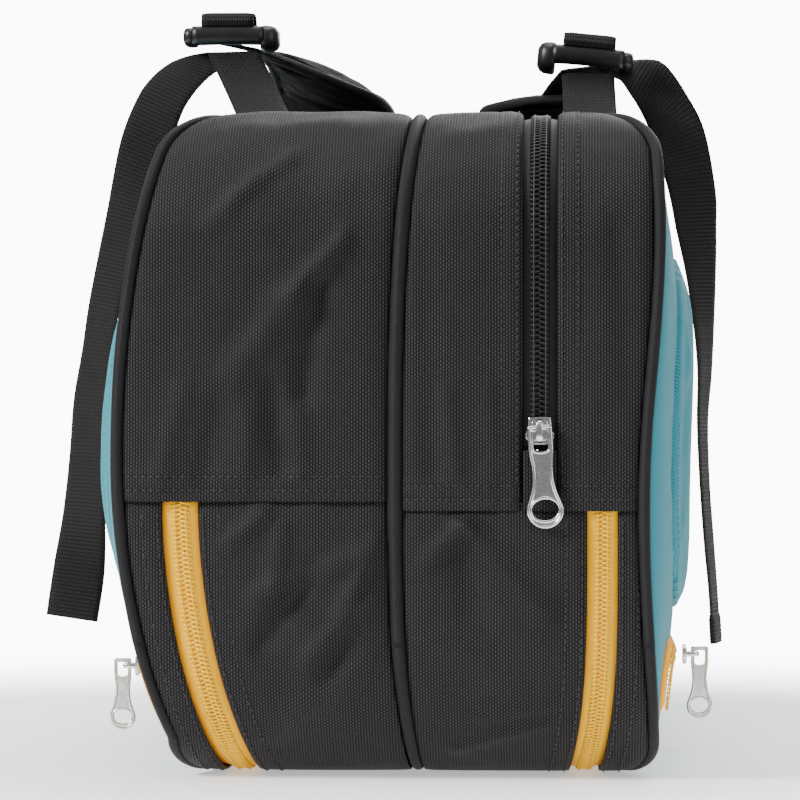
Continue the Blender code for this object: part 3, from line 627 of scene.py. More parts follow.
EASE = 9 * MM  # how far in from its edges a panel has its full rise
PUFF, SLACK, SLACK_LONG = 2.0 * MM, 0.55 * MM, 46 * MM
CREASE, CREASE_LONG = 0.25 * MM, 17 * MM
SEAM_DENT, SEAM_HALF, SEAM_THICK = 0.6 * MM, 0.9 * MM, 0.5 * MM
UNDER_DROP, PATCH_RISE = 1.4 * MM, 1.5 * MM
FLAT_FOOT = 0.85  # how much of its rise the weight of the bag takes from its foot


class Panel:
    """A strip of fabric round the outline between two lines of x."""

    def __init__(self, start, end, low, high, kinds, role, seed):
        self.start, self.end, self.low, self.high = start, end, low, high
        self.kinds, self.role, self.seed = kinds, role, seed

    def at(self, s, x=None, share=None, above=0.0):
        """Surface points and normals at arc length s, by x or by share of the width."""
        y, z, ny, nz = outline_at(s)
        x0, x1 = self.low(y, z), self.high(y, z)
        if x is None:
            x = x0 + (x1 - x0) * share
        d0, d1 = np.maximum(x - x0, 0), np.maximum(x1 - x, 0)
        free = (1 - np.exp(-d0 / EASE)) * (1 - np.exp(-d1 / EASE))
        rise = (PUFF + SLACK * ripple(x, s, self.seed, SLACK_LONG)) * free
        rise = rise + CREASE * ripple(x, s, self.seed + 50, CREASE_LONG) * free
        rise = rise + fold_rise(x, z) * free * (ny < -0.3)
        rise = rise - edge_drop(d0, self.kinds[0]) - edge_drop(d1, self.kinds[1])
        ends = np.maximum(np.minimum(s - self.start, self.end - s), 0)
        if self.role == "over":
            for row in SEAM_ROWS:
                rise = rise - SEAM_DENT * np.exp(-(((ends - row) / SEAM_HALF) ** 2))
            rise = rise + SEAM_THICK * (ends < 13 * MM) - SEAM_THICK * np.exp(-((ends / (0.7 * MM)) ** 2))
        elif self.role == "under":
            rise = rise - UNDER_DROP * np.exp(-ends / TUCK)
        elif self.role == "patch":
            rise = PATCH_RISE + 0 * rise
        rise = rise * (1 - FLAT_FOOT * np.maximum(-nz, 0)) + above
        return spread(x, y + rise * ny, z + rise * nz), spread(0 * x, ny, nz)

    def cloth(self, node, width):
        """The fabric, in the place of one CAD node, with its points closer together at its edges."""
        count = int((self.end - self.start) / STEP)
        close = np.array([0.3, 0.8, 1.6, 2.6, 4, 5, 6, 8.5, 10, 11, 12, 14]) * MM
        s = np.linspace(self.start, self.end, count + 1)
        s = np.unique(np.concatenate([s, self.start + close, self.end - close]))
        if self.role == "under":
            s = np.concatenate([[self.start - TUCK], s, [self.end + TUCK]])
        s = s[:, None]
        turn = np.linspace(0, 1, int(width / STEP) + 6)[None, :]
        spots, _ = self.at(s, share=0.5 * turn + 0.25 * (1 - np.cos(pi * turn)))
        cloth = [grid(spots, spread(spots[..., 0], s))]
        piece(node + "_cloth", cloth, NYLON, "black_nylon", node, thick=CLOTH_T)

    def stitches(self, s, x):
        return sewn_row(*self.at(s, x=x, above=0.3 * MM))

    def row_along(self, side, distance, start, end):
        """Stitch places along one of the panel's long edges."""
        s = np.arange(start, end, STITCH)
        y, z, _, _ = outline_at(s)
        return self.stitches(s, self.low(y, z) + distance if side < 0 else self.high(y, z) - distance)

    def row_across(self, s, inset=3 * MM):
        """Stitch places across the panel at one arc length."""
        y, z, _, _ = outline_at(s)
        x = np.arange(self.low(y, z) + inset, self.high(y, z) - inset, STITCH)
        return self.stitches(np.full_like(x, s), x)


def stitch_template():
    """One stitch along x: a short thread with pointed ends."""
    reach, radius = STITCH_LONG / 2, STITCH_R
    turns = 2 * pi * np.arange(6) / 6
    points = [(-reach, 0, 0)]
    for along, size in ((-0.75 * reach, 0.8), (0.0, 1.0), (0.75 * reach, 0.8)):
        points += [(along, radius * size * cos(a), radius * size * sin(a)) for a in turns]
    points.append((reach, 0, 0))
    faces = [[0, 1 + (i + 1) % 6, 1 + i] for i in range(6)]
    for ring in (0, 1):
        base = 1 + 6 * ring
        faces += [[base + i, base + (i + 1) % 6, base + 6 + (i + 1) % 6, base + 6 + i] for i in range(6)]
    faces += [[13 + i, 13 + (i + 1) % 6, 19] for i in range(6)]
    return np.array(points, float), faces, None


def sewn_row(spots, normal):
    """Stitch places along a row of points, with one normal for all of them or one for each."""
    return spots, np.broadcast_to(np.array(normal), spots.shape), np.gradient(spots, axis=0)


def stitch_places(rows):
    places = []
    for spots, normals, along in rows:
        for spot, normal, direction in zip(spots, normals, along):
            first = unit(direction)
            second = unit(np.cross(normal, first))
            places.append((np.array([first, second, np.cross(first, second)]), spot))
    return places


def stitching(name, rows, look, slot):
    piece(name, [stamp(stitch_template(), stitch_places(rows))], look, slot)


def over_and_under(seam):
    """The stretches of the outline above and below a seam's height."""
    over = near_end(seam) + GAP / 2, far_end(seam) - GAP / 2
    return over, (far_end(seam) + GAP / 2, PERIMETER + near_end(seam) - GAP / 2)


OVER_LEFT, UNDER_LEFT = over_and_under(SEAM_LEFT)
OVER_RIGHT, UNDER_RIGHT = over_and_under(SEAM_RIGHT)
BESIDE_EDGE, BESIDE_MID = EDGE_PIPING_R + 0.2 * MM, MID_PIPING_R + 0.2 * MM
ZIPPED = near_end(MAIN_ZIP_LOW), far_end(MAIN_ZIP_LOW)


def make_panels():
    """The cloth of both gussets, their seams and their stitching."""
    by_left, by_right = shifted(left_edge, BESIDE_EDGE), shifted(right_edge, -BESIDE_EDGE)
    left_of_mid, right_of_mid = shifted(middle, -BESIDE_MID), shifted(middle, BESIDE_MID)
    main_left, main_right = shifted(main_zip, -MAIN_SLOT), shifted(main_zip, MAIN_SLOT)
    zip_left, zip_right = shifted(left_zip, -LEFT_SLOT), shifted(left_zip, LEFT_SLOT)
    low_left, low_right = shifted(right_zip, -RIGHT_SLOT), shifted(right_zip, RIGHT_SLOT)
    # Name, stretch of the outline, its two edges and how each is finished, the seam at its ends, width in mm
    specs = (
        ("left_upper_gusset", OVER_LEFT, by_left, left_of_mid, "piping piping", "over", 130),
        ("left_lower_gusset", UNDER_LEFT, zip_right, left_of_mid, "hem piping", "under", 92),
        ("left_edge_strip", UNDER_LEFT, by_left, zip_left, "piping hem", "under", 30),
        ("right_upper_gusset_inner", OVER_RIGHT, right_of_mid, main_left, "piping hem", "over", 52),
        ("right_upper_gusset_outer", OVER_RIGHT, main_right, by_right, "hem piping", "over", 44),
        ("right_lower_gusset", UNDER_RIGHT, right_of_mid, low_left, "piping hem", "under", 80),
        ("right_edge_strip", UNDER_RIGHT, low_right, by_right, "hem piping", "under", 24),
    )
    rows = []
    for seed, (name, span, low, high, kinds, role, width) in enumerate(specs):
        panel = Panel(*span, low, high, kinds.split(), role, seed)
        panel.cloth(name, width * MM)
        ends = 14 * MM if role == "over" else 3 * MM
        for side, kind in zip((-1, 1), panel.kinds):
            if kind == "hem":
                for distance in (2.2 * MM, HEM_STITCH):
                    rows.append(panel.row_along(side, distance, span[0] + ends, span[1] - ends))
        if role == "over":
            rows += [panel.row_across(span[0] + row) for row in SEAM_ROWS]
            rows += [panel.row_across(span[1] - row) for row in SEAM_ROWS]
    stitching("shell_stitching", rows, BLACK_THREAD, "black_nylon")
    low, high = shifted(main_zip, GAP - MAIN_SLOT), shifted(main_zip, MAIN_SLOT - GAP)
    (start, stop), (zip_start, zip_stop) = OVER_RIGHT, ZIPPED
    for end, start, stop in (("near", start, zip_start - GAP), ("far", zip_stop + GAP, stop)):
        Panel(start, stop, low, high, ("flat", "flat"), "patch", 20).cloth(f"main_zip_{end}_stop", 15 * MM)


def make_pipings():
    """Cords wrapped in herringbone tape, right round the outline."""
    s = np.linspace(0, PERIMETER, 700, endpoint=False)
    y, z, ny, nz = outline_at(s)
    for name, line, radius in (
        ("left_piping", left_edge, EDGE_PIPING_R),
        ("right_piping", right_edge, EDGE_PIPING_R),
        ("centre_piping", middle, MID_PIPING_R),
    ):
        turns = 2 * pi * np.arange(14) / 14
        fat = radius + 0.15 * MM + 0.12 * MM * ripple(s, 0 * s, 7, 60 * MM)[:, None]
        x = line(y, z)[:, None] + fat * np.cos(turns)
        off = -radius - 0.1 * MM + fat * np.sin(turns) + 0.7 * MM * (1 - np.maximum(-nz, 0))[:, None]
        spots = np.stack([x, y[:, None] + off * ny[:, None], z[:, None] + off * nz[:, None]], -1)
        around = radius * (turns - pi / 2) + 1.5 * MM
        cord = grid(spots, spread(around[None, :], s[:, None]), True, True)
        piece(name + "_cord", [cord], HERRINGBONE, "black_nylon", name)


# ---------------------------------------------------------------- zips


TOOTH_REACH, TOOTH_HALF = 4.6, 4.2  # a tooth's outermost point, and the half width it is drawn for


def tooth_part(side):
    """One half turn of a coil: from its outer edge over the middle of the zip."""
    route = ((3.95, -0.2, -1.1), (4.0, -0.1, -0.35), (3.3, 0.0, 0.0), (1.6, 0.2, 0.05), (0.2, 0.45, -0.1),
             (-0.55, 0.55, -0.5))
    path = [(side * u, v, w) for u, v, w in route]
    points, faces, _ = tube_part(path, (0.42, 0.6, 0.62, 0.58, 0.6, 0.45), 6)
    return points / TOOTH_REACH, faces, None


def make_coil(name, centres, across, outward, half, looks, slot):
    """Both rows of teeth, and the two sewing threads, of one zip."""
    size = half * TOOTH_REACH / TOOTH_HALF
    along = np.cross(outward, across)
    teeth, threads = [], []
    turned = [np.array(axes) * size for axes in zip(across, along, outward)]
    for side, lag in ((1, 0), (-1, 1)):
        teeth.append(stamp(tooth_part(side), list(zip(turned[lag::2], centres[lag::2]))))
    for side in (-1, 1):
        wave = (0.15 * np.cos(pi * np.arange(len(centres)))[:, None] + 0.72) * 0.9 * MM
        path = centres + across * side * half * 0.62 + outward * wave
        threads.append(tube_part(path, 0.3 * MM, 5))
    piece(name + "_coil_teeth", teeth, looks[0], slot, name + "_coil")
    piece(name + "_coil_thread", threads, looks[1], slot)


def make_zip(name, line, half, slot_half, start, end, pitch, tape, coil, slots):
    """A zip round the outline: its tape, raised into the slot between two panels, and its coil."""
    s = np.arange(start, end, STEP)[:, None]
    y, z, ny, nz = outline_at(s)
    u = np.linspace(-TAPE_HALF, TAPE_HALF, 15)[None, :]
    off = -WALL - 0.35 * MM + 1.3 * MM * np.exp(-((u / slot_half) ** 4))
    cloth = [grid(spread(line(y, z) + u, y + off * ny, z + off * nz), spread(u, s))]
    piece(name + "_tape_cloth", cloth, tape, slots[0], name + "_tape", thick=TAPE_T)
    s = np.arange(start + pitch, end - pitch, pitch / 2)
    y, z, ny, nz = outline_at(s)
    centres = np.stack([line(y, z), y - 0.95 * MM * ny, z - 0.95 * MM * nz], -1)
    outward, across = spread(0 * s, ny, nz), np.broadcast_to(np.array(X), (len(s), 3))
    make_coil(name, centres, across, outward, half, coil, slots[1])


def make_shell_zips():
    make_zip("main_zip", main_zip, MAIN_COIL, MAIN_SLOT, *ZIPPED, 2.3 * MM, BLACK_TAPE,
             (BLACK_COIL, GREY_THREAD), ("black_nylon", "black_coil"))
    for name, line, half, slot_half, seam in (
        ("left_zip", left_zip, LEFT_COIL, LEFT_SLOT, SEAM_LEFT),
        ("right_zip", right_zip, RIGHT_COIL, RIGHT_SLOT, SEAM_RIGHT),
    ):
        ends = far_end(seam + 4 * MM), PERIMETER + near_end(seam + 4 * MM)
        make_zip(name, line, half, slot_half, *ends, 2.0 * MM, YELLOW_TAPE,
                 (YELLOW_COIL, PALE_THREAD), ("yellow_tape", "yellow_coil"))


def pocket_zip_path(height, step, radius=18 * MM, near=-243 * MM):
    """A pocket zip's middle line on its face: straight, then bent down at its near end."""
    centre = (near + radius, height - radius)
    bend = [pi - pi / 2 * i / 12 for i in range(13)]
    path = [(near + 2 * MM, height - radius - 4 * MM, 0)]
    path += [(centre[0] + radius * cos(a), centre[1] + radius * sin(a), 0) for a in bend]
    run = POCKET_ZIP_END - centre[0]
    path += [(centre[0] + run * i / 12, height, 0) for i in range(1, 13)]
    rows, gone = smooth_route(path, step)
    return rows[:, :2], gone


def face_normals(side, y, z):
    """Outward unit normals of a face panel."""
    small = 0.5 * MM
    dy = (face_x(side, y + small, z) - face_x(side, y - small, z)) / (2 * small)
    dz = (face_x(side, y, z + small) - face_x(side, y, z - small)) / (2 * small)
    return unit(side * np.stack([np.ones_like(dy), -dy, -dz], -1))


def on_face(side, y, z, rise):
    """Points that stand so far proud of a face."""
    return np.stack([face_x(side, y, z) + side * rise, y, z], -1)


def facing(side, part):
    """The same sheet with its faces turned to its own side of the bag."""
    points, faces, uv = part
    return points, [face[::-1] for face in faces] if side > 0 else faces, uv


def make_pocket_zip(name, side, height):
    """A zip sewn on a face under its pocket."""
    name += "_pocket_zip"
    path, gone = pocket_zip_path(height, STEP)
    along = unit(np.gradient(path, axis=0))
    u = np.linspace(-POCKET_TAPE_HALF, POCKET_TAPE_HALF, 11)[None, :]
    y, z = path[:, :1] - along[:, 1:] * u, path[:, 1:] + along[:, :1] * u
    ends = np.minimum(gone, gone[-1] - gone)[:, None]
    hem = np.maximum((np.abs(u) / POCKET_TAPE_HALF) ** 4, np.exp(-(ends / (1.5 * MM)) ** 2))
    rise = WALL / 2 + 1.5 * MM - 1.8 * MM * hem  # sewn down along its edges
    cloth = facing(side, grid(on_face(side, y, z, rise), spread(u, gone[:, None])))
    piece(name + "_tape_cloth", [cloth], YELLOW_TAPE, "yellow_tape", name + "_tape", thick=TAPE_T)
    pitch = 1.9 * MM
    path, _ = pocket_zip_path(height, pitch / 2)
    along = unit(np.gradient(path, axis=0))
    y, z = path[:, 0], path[:, 1]
    outward = face_normals(side, y, z)
    across = unit(np.cross(np.stack([0 * y, along[:, 0], along[:, 1]], -1), outward))
    centres = on_face(side, y, z, OVER_FACE + 1.2 * MM)
    make_coil(name, centres, across, outward, POCKET_COIL_HALF, (YELLOW_COIL, PALE_THREAD), "yellow_coil")


# ---------------------------------------------------------------- faces and pockets


FACE_POINTS, POCKET_POINTS = 420, 200  # round a rim
FRAMES = 20  # of each cloth simulation


def make_face(name, side):
    """A face's cloth, in rings that shrink towards its middle."""
    s = np.linspace(0, PERIMETER, FACE_POINTS, endpoint=False)[None, :]
    inset = FACE_INSET - 0.4 * MM
    y, z, ny, nz = outline_at(s)
    scale = (1 - np.linspace(0, 1, 34) ** 1.35)[:, None]
    y, z = (y - inset * ny) * scale, MID_Z + (z - inset * nz - MID_Z) * scale
    rim = np.minimum(LENGTH / 2 - np.abs(y), MID_Z - np.abs(z - MID_Z)) - inset
    free = 1 - np.exp(-np.maximum(rim, 0) / (16 * MM))
    uneven = 0.7 * ripple(y, z, 31 + side, 90 * MM) + 0.3 * ripple(y, z, 41 + side, 30 * MM)
    rise = WALL / 2 + uneven * MM * free
    rise = rise - 1.4 * MM * np.exp(-np.maximum(rim, 0) / (3 * MM))
    rise = np.minimum(rise, OVER_FACE - 0.3 * MM)
    points, faces, uv = grid(on_face(side, y, z, rise), np.stack([y, z], -1), wrap_columns=True)
    faces.append(list(range(len(points) - FACE_POINTS, len(points))))
    cloth = facing(side, (points, faces, uv))
    piece(name + "_face_cloth", [cloth], TEAL, "teal_twill", name + "_face_panel", thick=CLOTH_T)


def swell(made, voxel, pressure, most, held):
    """Puffs a closed form up as stuffed cloth, but for its held points, and keeps the mesh that results."""
    remesh = made.modifiers.new("Even", "REMESH")
    remesh.mode, remesh.voxel_size = "VOXEL", voxel
    take_result(made)
    count = len(made.data.vertices)
    start = np.zeros(count * 3, np.float32)
    made.data.vertices.foreach_get("co", start)
    start = start.reshape(-1, 3)
    cloth = made.modifiers.new("Cloth", "CLOTH")
    settings = cloth.settings
    settings.quality, settings.mass = 6, 0.25
    settings.tension_stiffness = settings.compression_stiffness = 12
    settings.bending_stiffness = 0.6
    settings.use_pressure, settings.uniform_pressure_force = True, pressure
    settings.shrink_min = -0.02
    settings.effector_weights.gravity = 0
    cloth.collision_settings.use_collision = False
    cloth.point_cache.frame_start, cloth.point_cache.frame_end = 1, FRAMES
    group = made.vertex_groups.new(name="held")
    group.add(np.nonzero(held(start))[0].tolist(), 1.0, "REPLACE")
    settings.vertex_group_mass = "held"
    for number in range(1, FRAMES + 1):
        bpy.context.scene.frame_set(number)
    shown = made.evaluated_get(bpy.context.evaluated_depsgraph_get())
    after = np.zeros(count * 3, np.float32)
    shown.data.vertices.foreach_get("co", after)
    move = after.reshape(-1, 3) - start
    size = np.linalg.norm(move, axis=1)[:, None]
    move *= np.minimum(1, most / np.maximum(size, 1e-9))
    made.modifiers.remove(cloth)
    bpy.context.scene.frame_set(1)
    made.data.vertices.foreach_set("co", (start + move).astype(np.float32).ravel())
    made.data.update()
    finer = made.modifiers.new("Finer", "SUBSURF")
    finer.levels = finer.render_levels = 1


def take_result(made):
    """Puts a piece's evaluated mesh in the place of its modifiers."""
    bpy.context.view_layer.update()
    mesh = bpy.data.meshes.new_from_object(made.evaluated_get(bpy.context.evaluated_depsgraph_get()))
    made.modifiers.clear()
    made.data = mesh
    mesh.shade_smooth()


POCKET_FOOT, POCKET_RIM, POCKET_RISE = -2.5 * MM, 2.6 * MM, 4.4 * MM
POCKET_SQUARE = 0.42  # the power that squares its outline


def make_pocket(name, side):
    """A padded pocket with a sewn rim, squared off at its corners."""
    half_y, half_z = (POCKET_FAR - POCKET_NEAR) / 2, (POCKET_HIGH - POCKET_LOW) / 2
    mid_y, mid_z = (POCKET_NEAR + POCKET_FAR) / 2, (POCKET_LOW + POCKET_HIGH) / 2
    turns = np.linspace(0, 2 * pi, POCKET_POINTS, endpoint=False)[None, :]
    cosine, sine = np.cos(turns), np.sin(turns)
    ring_y = half_y * np.sign(cosine) * np.abs(cosine) ** POCKET_SQUARE
    ring_z = half_z * np.sign(sine) * np.abs(sine) ** POCKET_SQUARE
    scale = (1 - np.linspace(0, 0.985, 26) ** 1.5)[:, None]

    def front(y, z, above=0.0):
        near = (1 - np.abs((y - mid_y) / half_y) ** 6) * (1 - np.abs((z - mid_z) / half_z) ** 4)
        return on_face(side, y, z, POCKET_RIM + POCKET_RISE * np.clip(near, 0, 1) ** 0.8 + above)

    def held(co):
        """The back and the sewn rim stay where they are."""
        return np.abs(co[:, 0] - face_x(side, co[:, 1], co[:, 2])) < POCKET_RIM + 2 * MM

    y, z = mid_y + ring_y * scale, mid_z + ring_z * scale
    spots = np.vstack([front(y, z)[::-1], on_face(side, y, z, POCKET_FOOT)])
    points, faces, uv = grid(spots, spots[..., 1:], wrap_columns=True)
    faces.append(list(range(POCKET_POINTS)))
    faces.append(list(range(len(points) - POCKET_POINTS, len(points))))
    made = build(name + "_pocket_cloth", [(points, faces, uv)], TEAL)
    swell(made, 4 * MM, 2.5, 2.5 * MM, held)
    settle(made, "bag", "teal_twill", name + "_pocket_panel")
    inset = 5 * MM
    path = spread(mid_y + ring_y[0] * (1 - inset / half_y), mid_z + ring_z[0] * (1 - inset / half_z), 0)
    rows, _ = smooth_route(np.vstack([path, path[:1]]), STITCH)
    y, z = rows[:-1, 0], rows[:-1, 1]
    row = sewn_row(front(y, z, -0.25 * MM), face_normals(side, y, z))
    stitching(name + "_pocket_stitching", [row], TEAL, "teal_twill")


# ---------------------------------------------------------------- sliders and pulls

PULL_AXIS_W, PULL_AXIS_V, BIG_BAR = 5.0 * MM, 1.0 * MM, 7.6 * MM
SMALL, SMALL_BAR, SLIDER_RIDE, POCKET_COIL_T, TAPE = 0.72, 7.4 * MM, 1.5 * MM, 1.6 * MM, 0.8 * MM
POCKET_SLIDER_Y, MAIN_SLIDER_Z, SIDE_SLIDER_Z = -205 * MM, 152 * MM, 108 * MM


def frame_at(origin, u, v, w):
    """The place of a part drawn along u, v and w."""
    turned = Matrix((u, v, w)).transposed().to_4x4()
    return Matrix.Translation(origin) @ turned


def scaled(points, unit_length):
    return [(u * unit_length, v * unit_length) for u, v in points]


def mirrored(right):
    return [(-u, v) for u, v in reversed(right)]


def slider(name, place, size, bar):
    """A cast zip slider: waisted body, side walls and an arched bridge; u across, v along, w out."""
    step = MM * size
    right = [(4.7, 5.9), (5.0, 3.4), (5.1, 1.0), (6.2, -1.2), (6.1, -3.0), (4.6, -4.9), (3.4, -5.9)]
    outline = scaled(right + mirrored(right), step)
    body = extruded([outline], 0.5 * step, 2.9 * step, place)
    crown = extruded([scaled(outline, 0.72)], 2.6 * step, 3.3 * step, place)
    spring, shoulder, top = 2.4 * step, (bar * 0.7, bar * 0.96), bar + 0.1 * MM
    arch = [(4.5, spring), (4.5, shoulder[0]), (3.4, shoulder[1]), (0, top)]
    rows = [(0, v * step, w, 1.5 * step, 0, 0) for v, w in arch + mirrored(arch[:-1])]
    bridge = moved(ribbon_part(rows, 1.25 * step, rib=0, columns=5, pitch=2.4 * step), place)
    made = build(name + "_cast", [body, crown, bridge], METAL, bevel=0.4 * step, sharp=0.7)
    settle(made, name, "silver_metal", name)


def pull(name, place, size):
    """A cast tag: a thin plate with raised rims round its edge, its eye and its ring."""
    step = MM * size
    right = [(4.0, 1.3), (5.0, 0.9), (5.2, 0.3), (5.2, -5), (5.1, -10), (4.5, -15), (4.3, -19), (4.5, -23),
             (5.4, -27.5), (6.6, -31)]
    foot = [(7.8 * cos(a), -35.4 + 7.8 * sin(a)) for a in (-pi * (i - 1) / 22 for i in range(25))]
    eye = [(3.2, -8.6), (1.8, -10), (-1.8, -10), (-3.2, -8.6)]
    ring = [(5.9 * cos(a), -35.2 + 4.6 * sin(a)) for a in (2 * pi * i / 32 for i in range(32))]
    eye = [(-3.2, -1), (3.2, -1)] + eye
    loops = [scaled(loop, step) for loop in (right + foot + mirrored(right), eye, ring)]
    deep = 0.45 * MM * min(size * 1.15, 1)
    parts = [extruded(loops, -deep, deep, place)]
    for loop, radius, grow in zip(loops, (0.78, 0.55, 0.72), (-0.6, 0.4, 0.6)):
        centre = np.mean(loop, axis=0)
        path = []
        for i, (x, y) in enumerate(loop):
            before, after = loop[i - 1], loop[(i + 1) % len(loop)]
            nx, ny = after[1] - before[1], before[0] - after[0]
            sign = 1 if nx * (x - centre[0]) + ny * (y - centre[1]) > 0 else -1
            shift = grow * step * sign / hypot(nx, ny)
            path.append((x + nx * shift, y + ny * shift, 0))
        rows, _ = smooth_route(path + path[:1], 0.5 * MM)
        parts.append(moved(tube_part(rows[:-1], radius * step * 1.15, 8, closed=True), place))
    settle(build(name + "_cast", parts, METAL, sharp=0.9), name, "silver_metal", name)


def make_end_slider(name, x, z, near, lean=0.0):
    """The slider and the pull of a zip on an end of the bag."""
    u, w = (X, -Y) if near else (-X, Y)
    origin = Vector((x, -LENGTH / 2 if near else LENGTH / 2, z))
    slider(name + "_slider", frame_at(origin, u, Z, w), 1.0, BIG_BAR)
    pivot = origin + PULL_AXIS_V * Z + PULL_AXIS_W * w
    hung = Matrix.Translation(pivot) @ Matrix.Rotation(lean, 4, w) @ frame_at(Vector(), u, Z, w)
    pull(name + "_pull", hung, 1.0)


def make_pocket_slider(name, side, height):
    """The smaller slider and pull of a pocket's zip."""
    crest = face_x(side, 0, height) + side * (OVER_FACE + TAPE + POCKET_COIL_T + SLIDER_RIDE)
    origin = Vector((crest, POCKET_SLIDER_Y, height))
    slider(name + "_slider", frame_at(origin, -side * Z, Y, side * X), SMALL, SMALL_BAR)
    hung = origin + side * (SMALL_BAR + 0.7 * MM) * X + 2.3 * MM * Z
    pull(name + "_pull", frame_at(hung, side * X, Z, -side * Y), SMALL)


def make_sliders():
    far = LENGTH / 2
    make_end_slider("main_zip", MAIN_ZIP_X, MAIN_SLIDER_Z, True, 0.07)
    make_end_slider("left_zip", float(left_zip(far, SIDE_SLIDER_Z)), SIDE_SLIDER_Z, False)
    make_end_slider("right_zip", float(right_zip(far, SIDE_SLIDER_Z)), SIDE_SLIDER_Z, False)
    make_pocket_slider("left_pocket", -1, POCKET_ZIPS["left"])
    make_pocket_slider("right_pocket", 1, POCKET_ZIPS["right"])


# ---------------------------------------------------------------- straps

LOCKS = {"left": (-73.5 * MM, 341 * MM, 0.0), "right": (99 * MM, 330 * MM, 0.1)}
# Each tail's hanging points (x, z) and how much of its width faces the near end there
TAIL_ROUTES = {
    "left": (
        (-123.5, 256, 22), (-129.5, 235, 19), (-135, 212, 17), (-138.2, 190, 17), (-141.3, 167, 18.5),
        (-142.5, 140, 20), (-144.5, 112, 22), (-147, 86, 25), (-150.5, 62, 25),
    ),
    "right": (
        (149, 268, 22.5), (151, 250, 19.5), (153.2, 228, 14.6), (154.6, 203, 10), (155, 180, 7),
        (154, 157, 5.5), (155, 128, 5), (157, 100, 5), (159, 76, 4.5), (160.5, 51, 4.5),
    ),
}
# Its first stretch, as it leaves the lock: points (x, z) and half of its width there (x, z)
TAIL_STARTS = {
    "left": (
        (-74, 335.5, 12.3, 0), (-84, 332, 11.2, -2), (-93.5, 327, 10.2, -3.8), (-102, 319, 10.3, -4.8),
        (-108.5, 308.5, 10.8, -5), (-115.5, 288, 11.5, -4.8),
    ),
    "right": (
        (105, 326.5, 0, 4.2), (114.3, 326, 0.6, 5.2), (123.7, 323.3, 5, 8.5), (130.2, 317.6, 6.4, 10.6),
        (137.2, 306.2, 8.8, 8.8), (143.2, 292.9, 11.6, 4.5),
    ),
}
PAD_ROUTES = {
    "left": ((-40, 203, 301, 0), (-36, 150, 307, 3), (-32, 90, 316, 9), (-31, 30, 324, 16),
             (-33, -25, 328, 21), (-44, -62, 331, 22)),
    "right": ((68, 203, 301, 0), (70, 150, 305, 0), (73, 90, 309, -1), (76, 30, 312, -2),
              (78, -25, 313.5, -3), (84, -62, 314, -3)),
}
# Webbing that lies along y: its points and its roll in degrees
ANCHOR_ROUTES = {
    "left": ((-49, -186, 295.3, 0), (-50, -160, 295.6, 0), (-53, -140, 300, 0), (-62, -113, 317, 0),
             (-71, -96, 334, 0)),
    "right": ((100, -186, 295.3, 0), (100, -160, 295.6, 0), (100, -140, 299, 0), (99.5, -113, 312, 0),
              (99, -96, 323, 0)),
}
LINK_ROUTES = {
    "left": ((-50, -58, 334.5, 22), (-61, -69, 337, 18), (-72, -77.2, 339.5, 10)),
    "right": ((88, -58, 316, -3), (93, -69, 322, -4), (98.5, -77.2, 328, -6)),
}


EAR_SIDES = PAD_SIDES = 28
# Each lock's ears, in mm: side, how far the knob stands out, its middle and half of its height
EARS = {
    "left": ((-1, 0.2, 1.0, 4.5), (1, 1.0, 0.2, 6.3)),
    "right": ((-1, 1.0, -0.4, 7.6), (1, 0.2, 1.0, 4.5)),
}
EAR_HALF, BAR_HALF, BAR_BOW = 11, 17, 0.25
BARS = ((-8.8, 1.2, 2.6, 4.4), (8.8, 0.5, 1.9, 2.4), (0, 0, 1.6, 1.6))  # place, half depth and half height
LOCK_FOLD = ((-9.6, 5.9), (-10.8, 7.8), (-8.6, 10.8), (-4, 11.6), (4, 11.4), (9.8, 9.2), (11.6, 5.8))


def webbing(node, rows, thickness=WEBBING_T, body="bag", **shape):
    """A strip of webbing in the place of one CAD node."""
    ribbon = ribbon_part(rows, thickness, **shape)
    return piece(node + "_weave", [ribbon], WOVEN, "black_webbing", node, body=body)


def make_lock(name):
    """A ladder lock: rounded ears joined by three bars, and the fold of webbing over it."""
    x, z, roll = LOCKS[name]
    place = Matrix.Translation(Vector((x, TAIL_Y, z))) @ Matrix.Rotation(roll, 4, Y)
    parts = []
    for side, reach, middle_w, half_w in EARS[name]:
        ear = []
        for a in (2 * pi * i / EAR_SIDES for i in range(EAR_SIDES)):
            v = EAR_HALF * np.sign(cos(a)) * abs(cos(a)) ** 0.6
            ear.append((v, half_w * np.sign(sin(a)) * abs(sin(a)) ** 0.7))
        rounds = ((15.6, 0.86), (16.2, 0.97), (18, 1.0), (19.8 + reach, 0.96), (20.6 + 2.2 * reach, 0.84),
                  (21 + 3.2 * reach, 0.55))
        rings = [[(side * u, v * size, middle_w + w * size) for v, w in ear] for u, size in rounds]
        spots = np.array(rings) * MM
        parts.append(capped(grid(spots, spots[..., 1:], wrap_columns=True), EAR_SIDES))
    for v, w, deep, tall in BARS:
        across = np.linspace(-BAR_HALF, BAR_HALF, 15)
        path = spread(across, v, w + BAR_BOW * (1 - (across / BAR_HALF) ** 2)) * MM
        points, faces, uv = tube_part(path, deep * MM, 16)
        lifted = points.copy()
        lifted[:, 2] = w * MM + (points[:, 2] - w * MM) * tall / deep
        parts.append((lifted, faces, uv))
    parts = [moved(part, place) for part in parts]
    node, body = name + "_ladder_lock", name + "_lock"
    piece(node + "_moulded", parts, PLASTIC, "black_plastic", node, body=body)
    half = place.to_3x3() @ (X * WEBBING / 2)
    rows = [(*(place @ (Vector((0, v, w)) * MM)), *half) for v, w in LOCK_FOLD]
    webbing(name + "_lock_fold", rows, body=body)


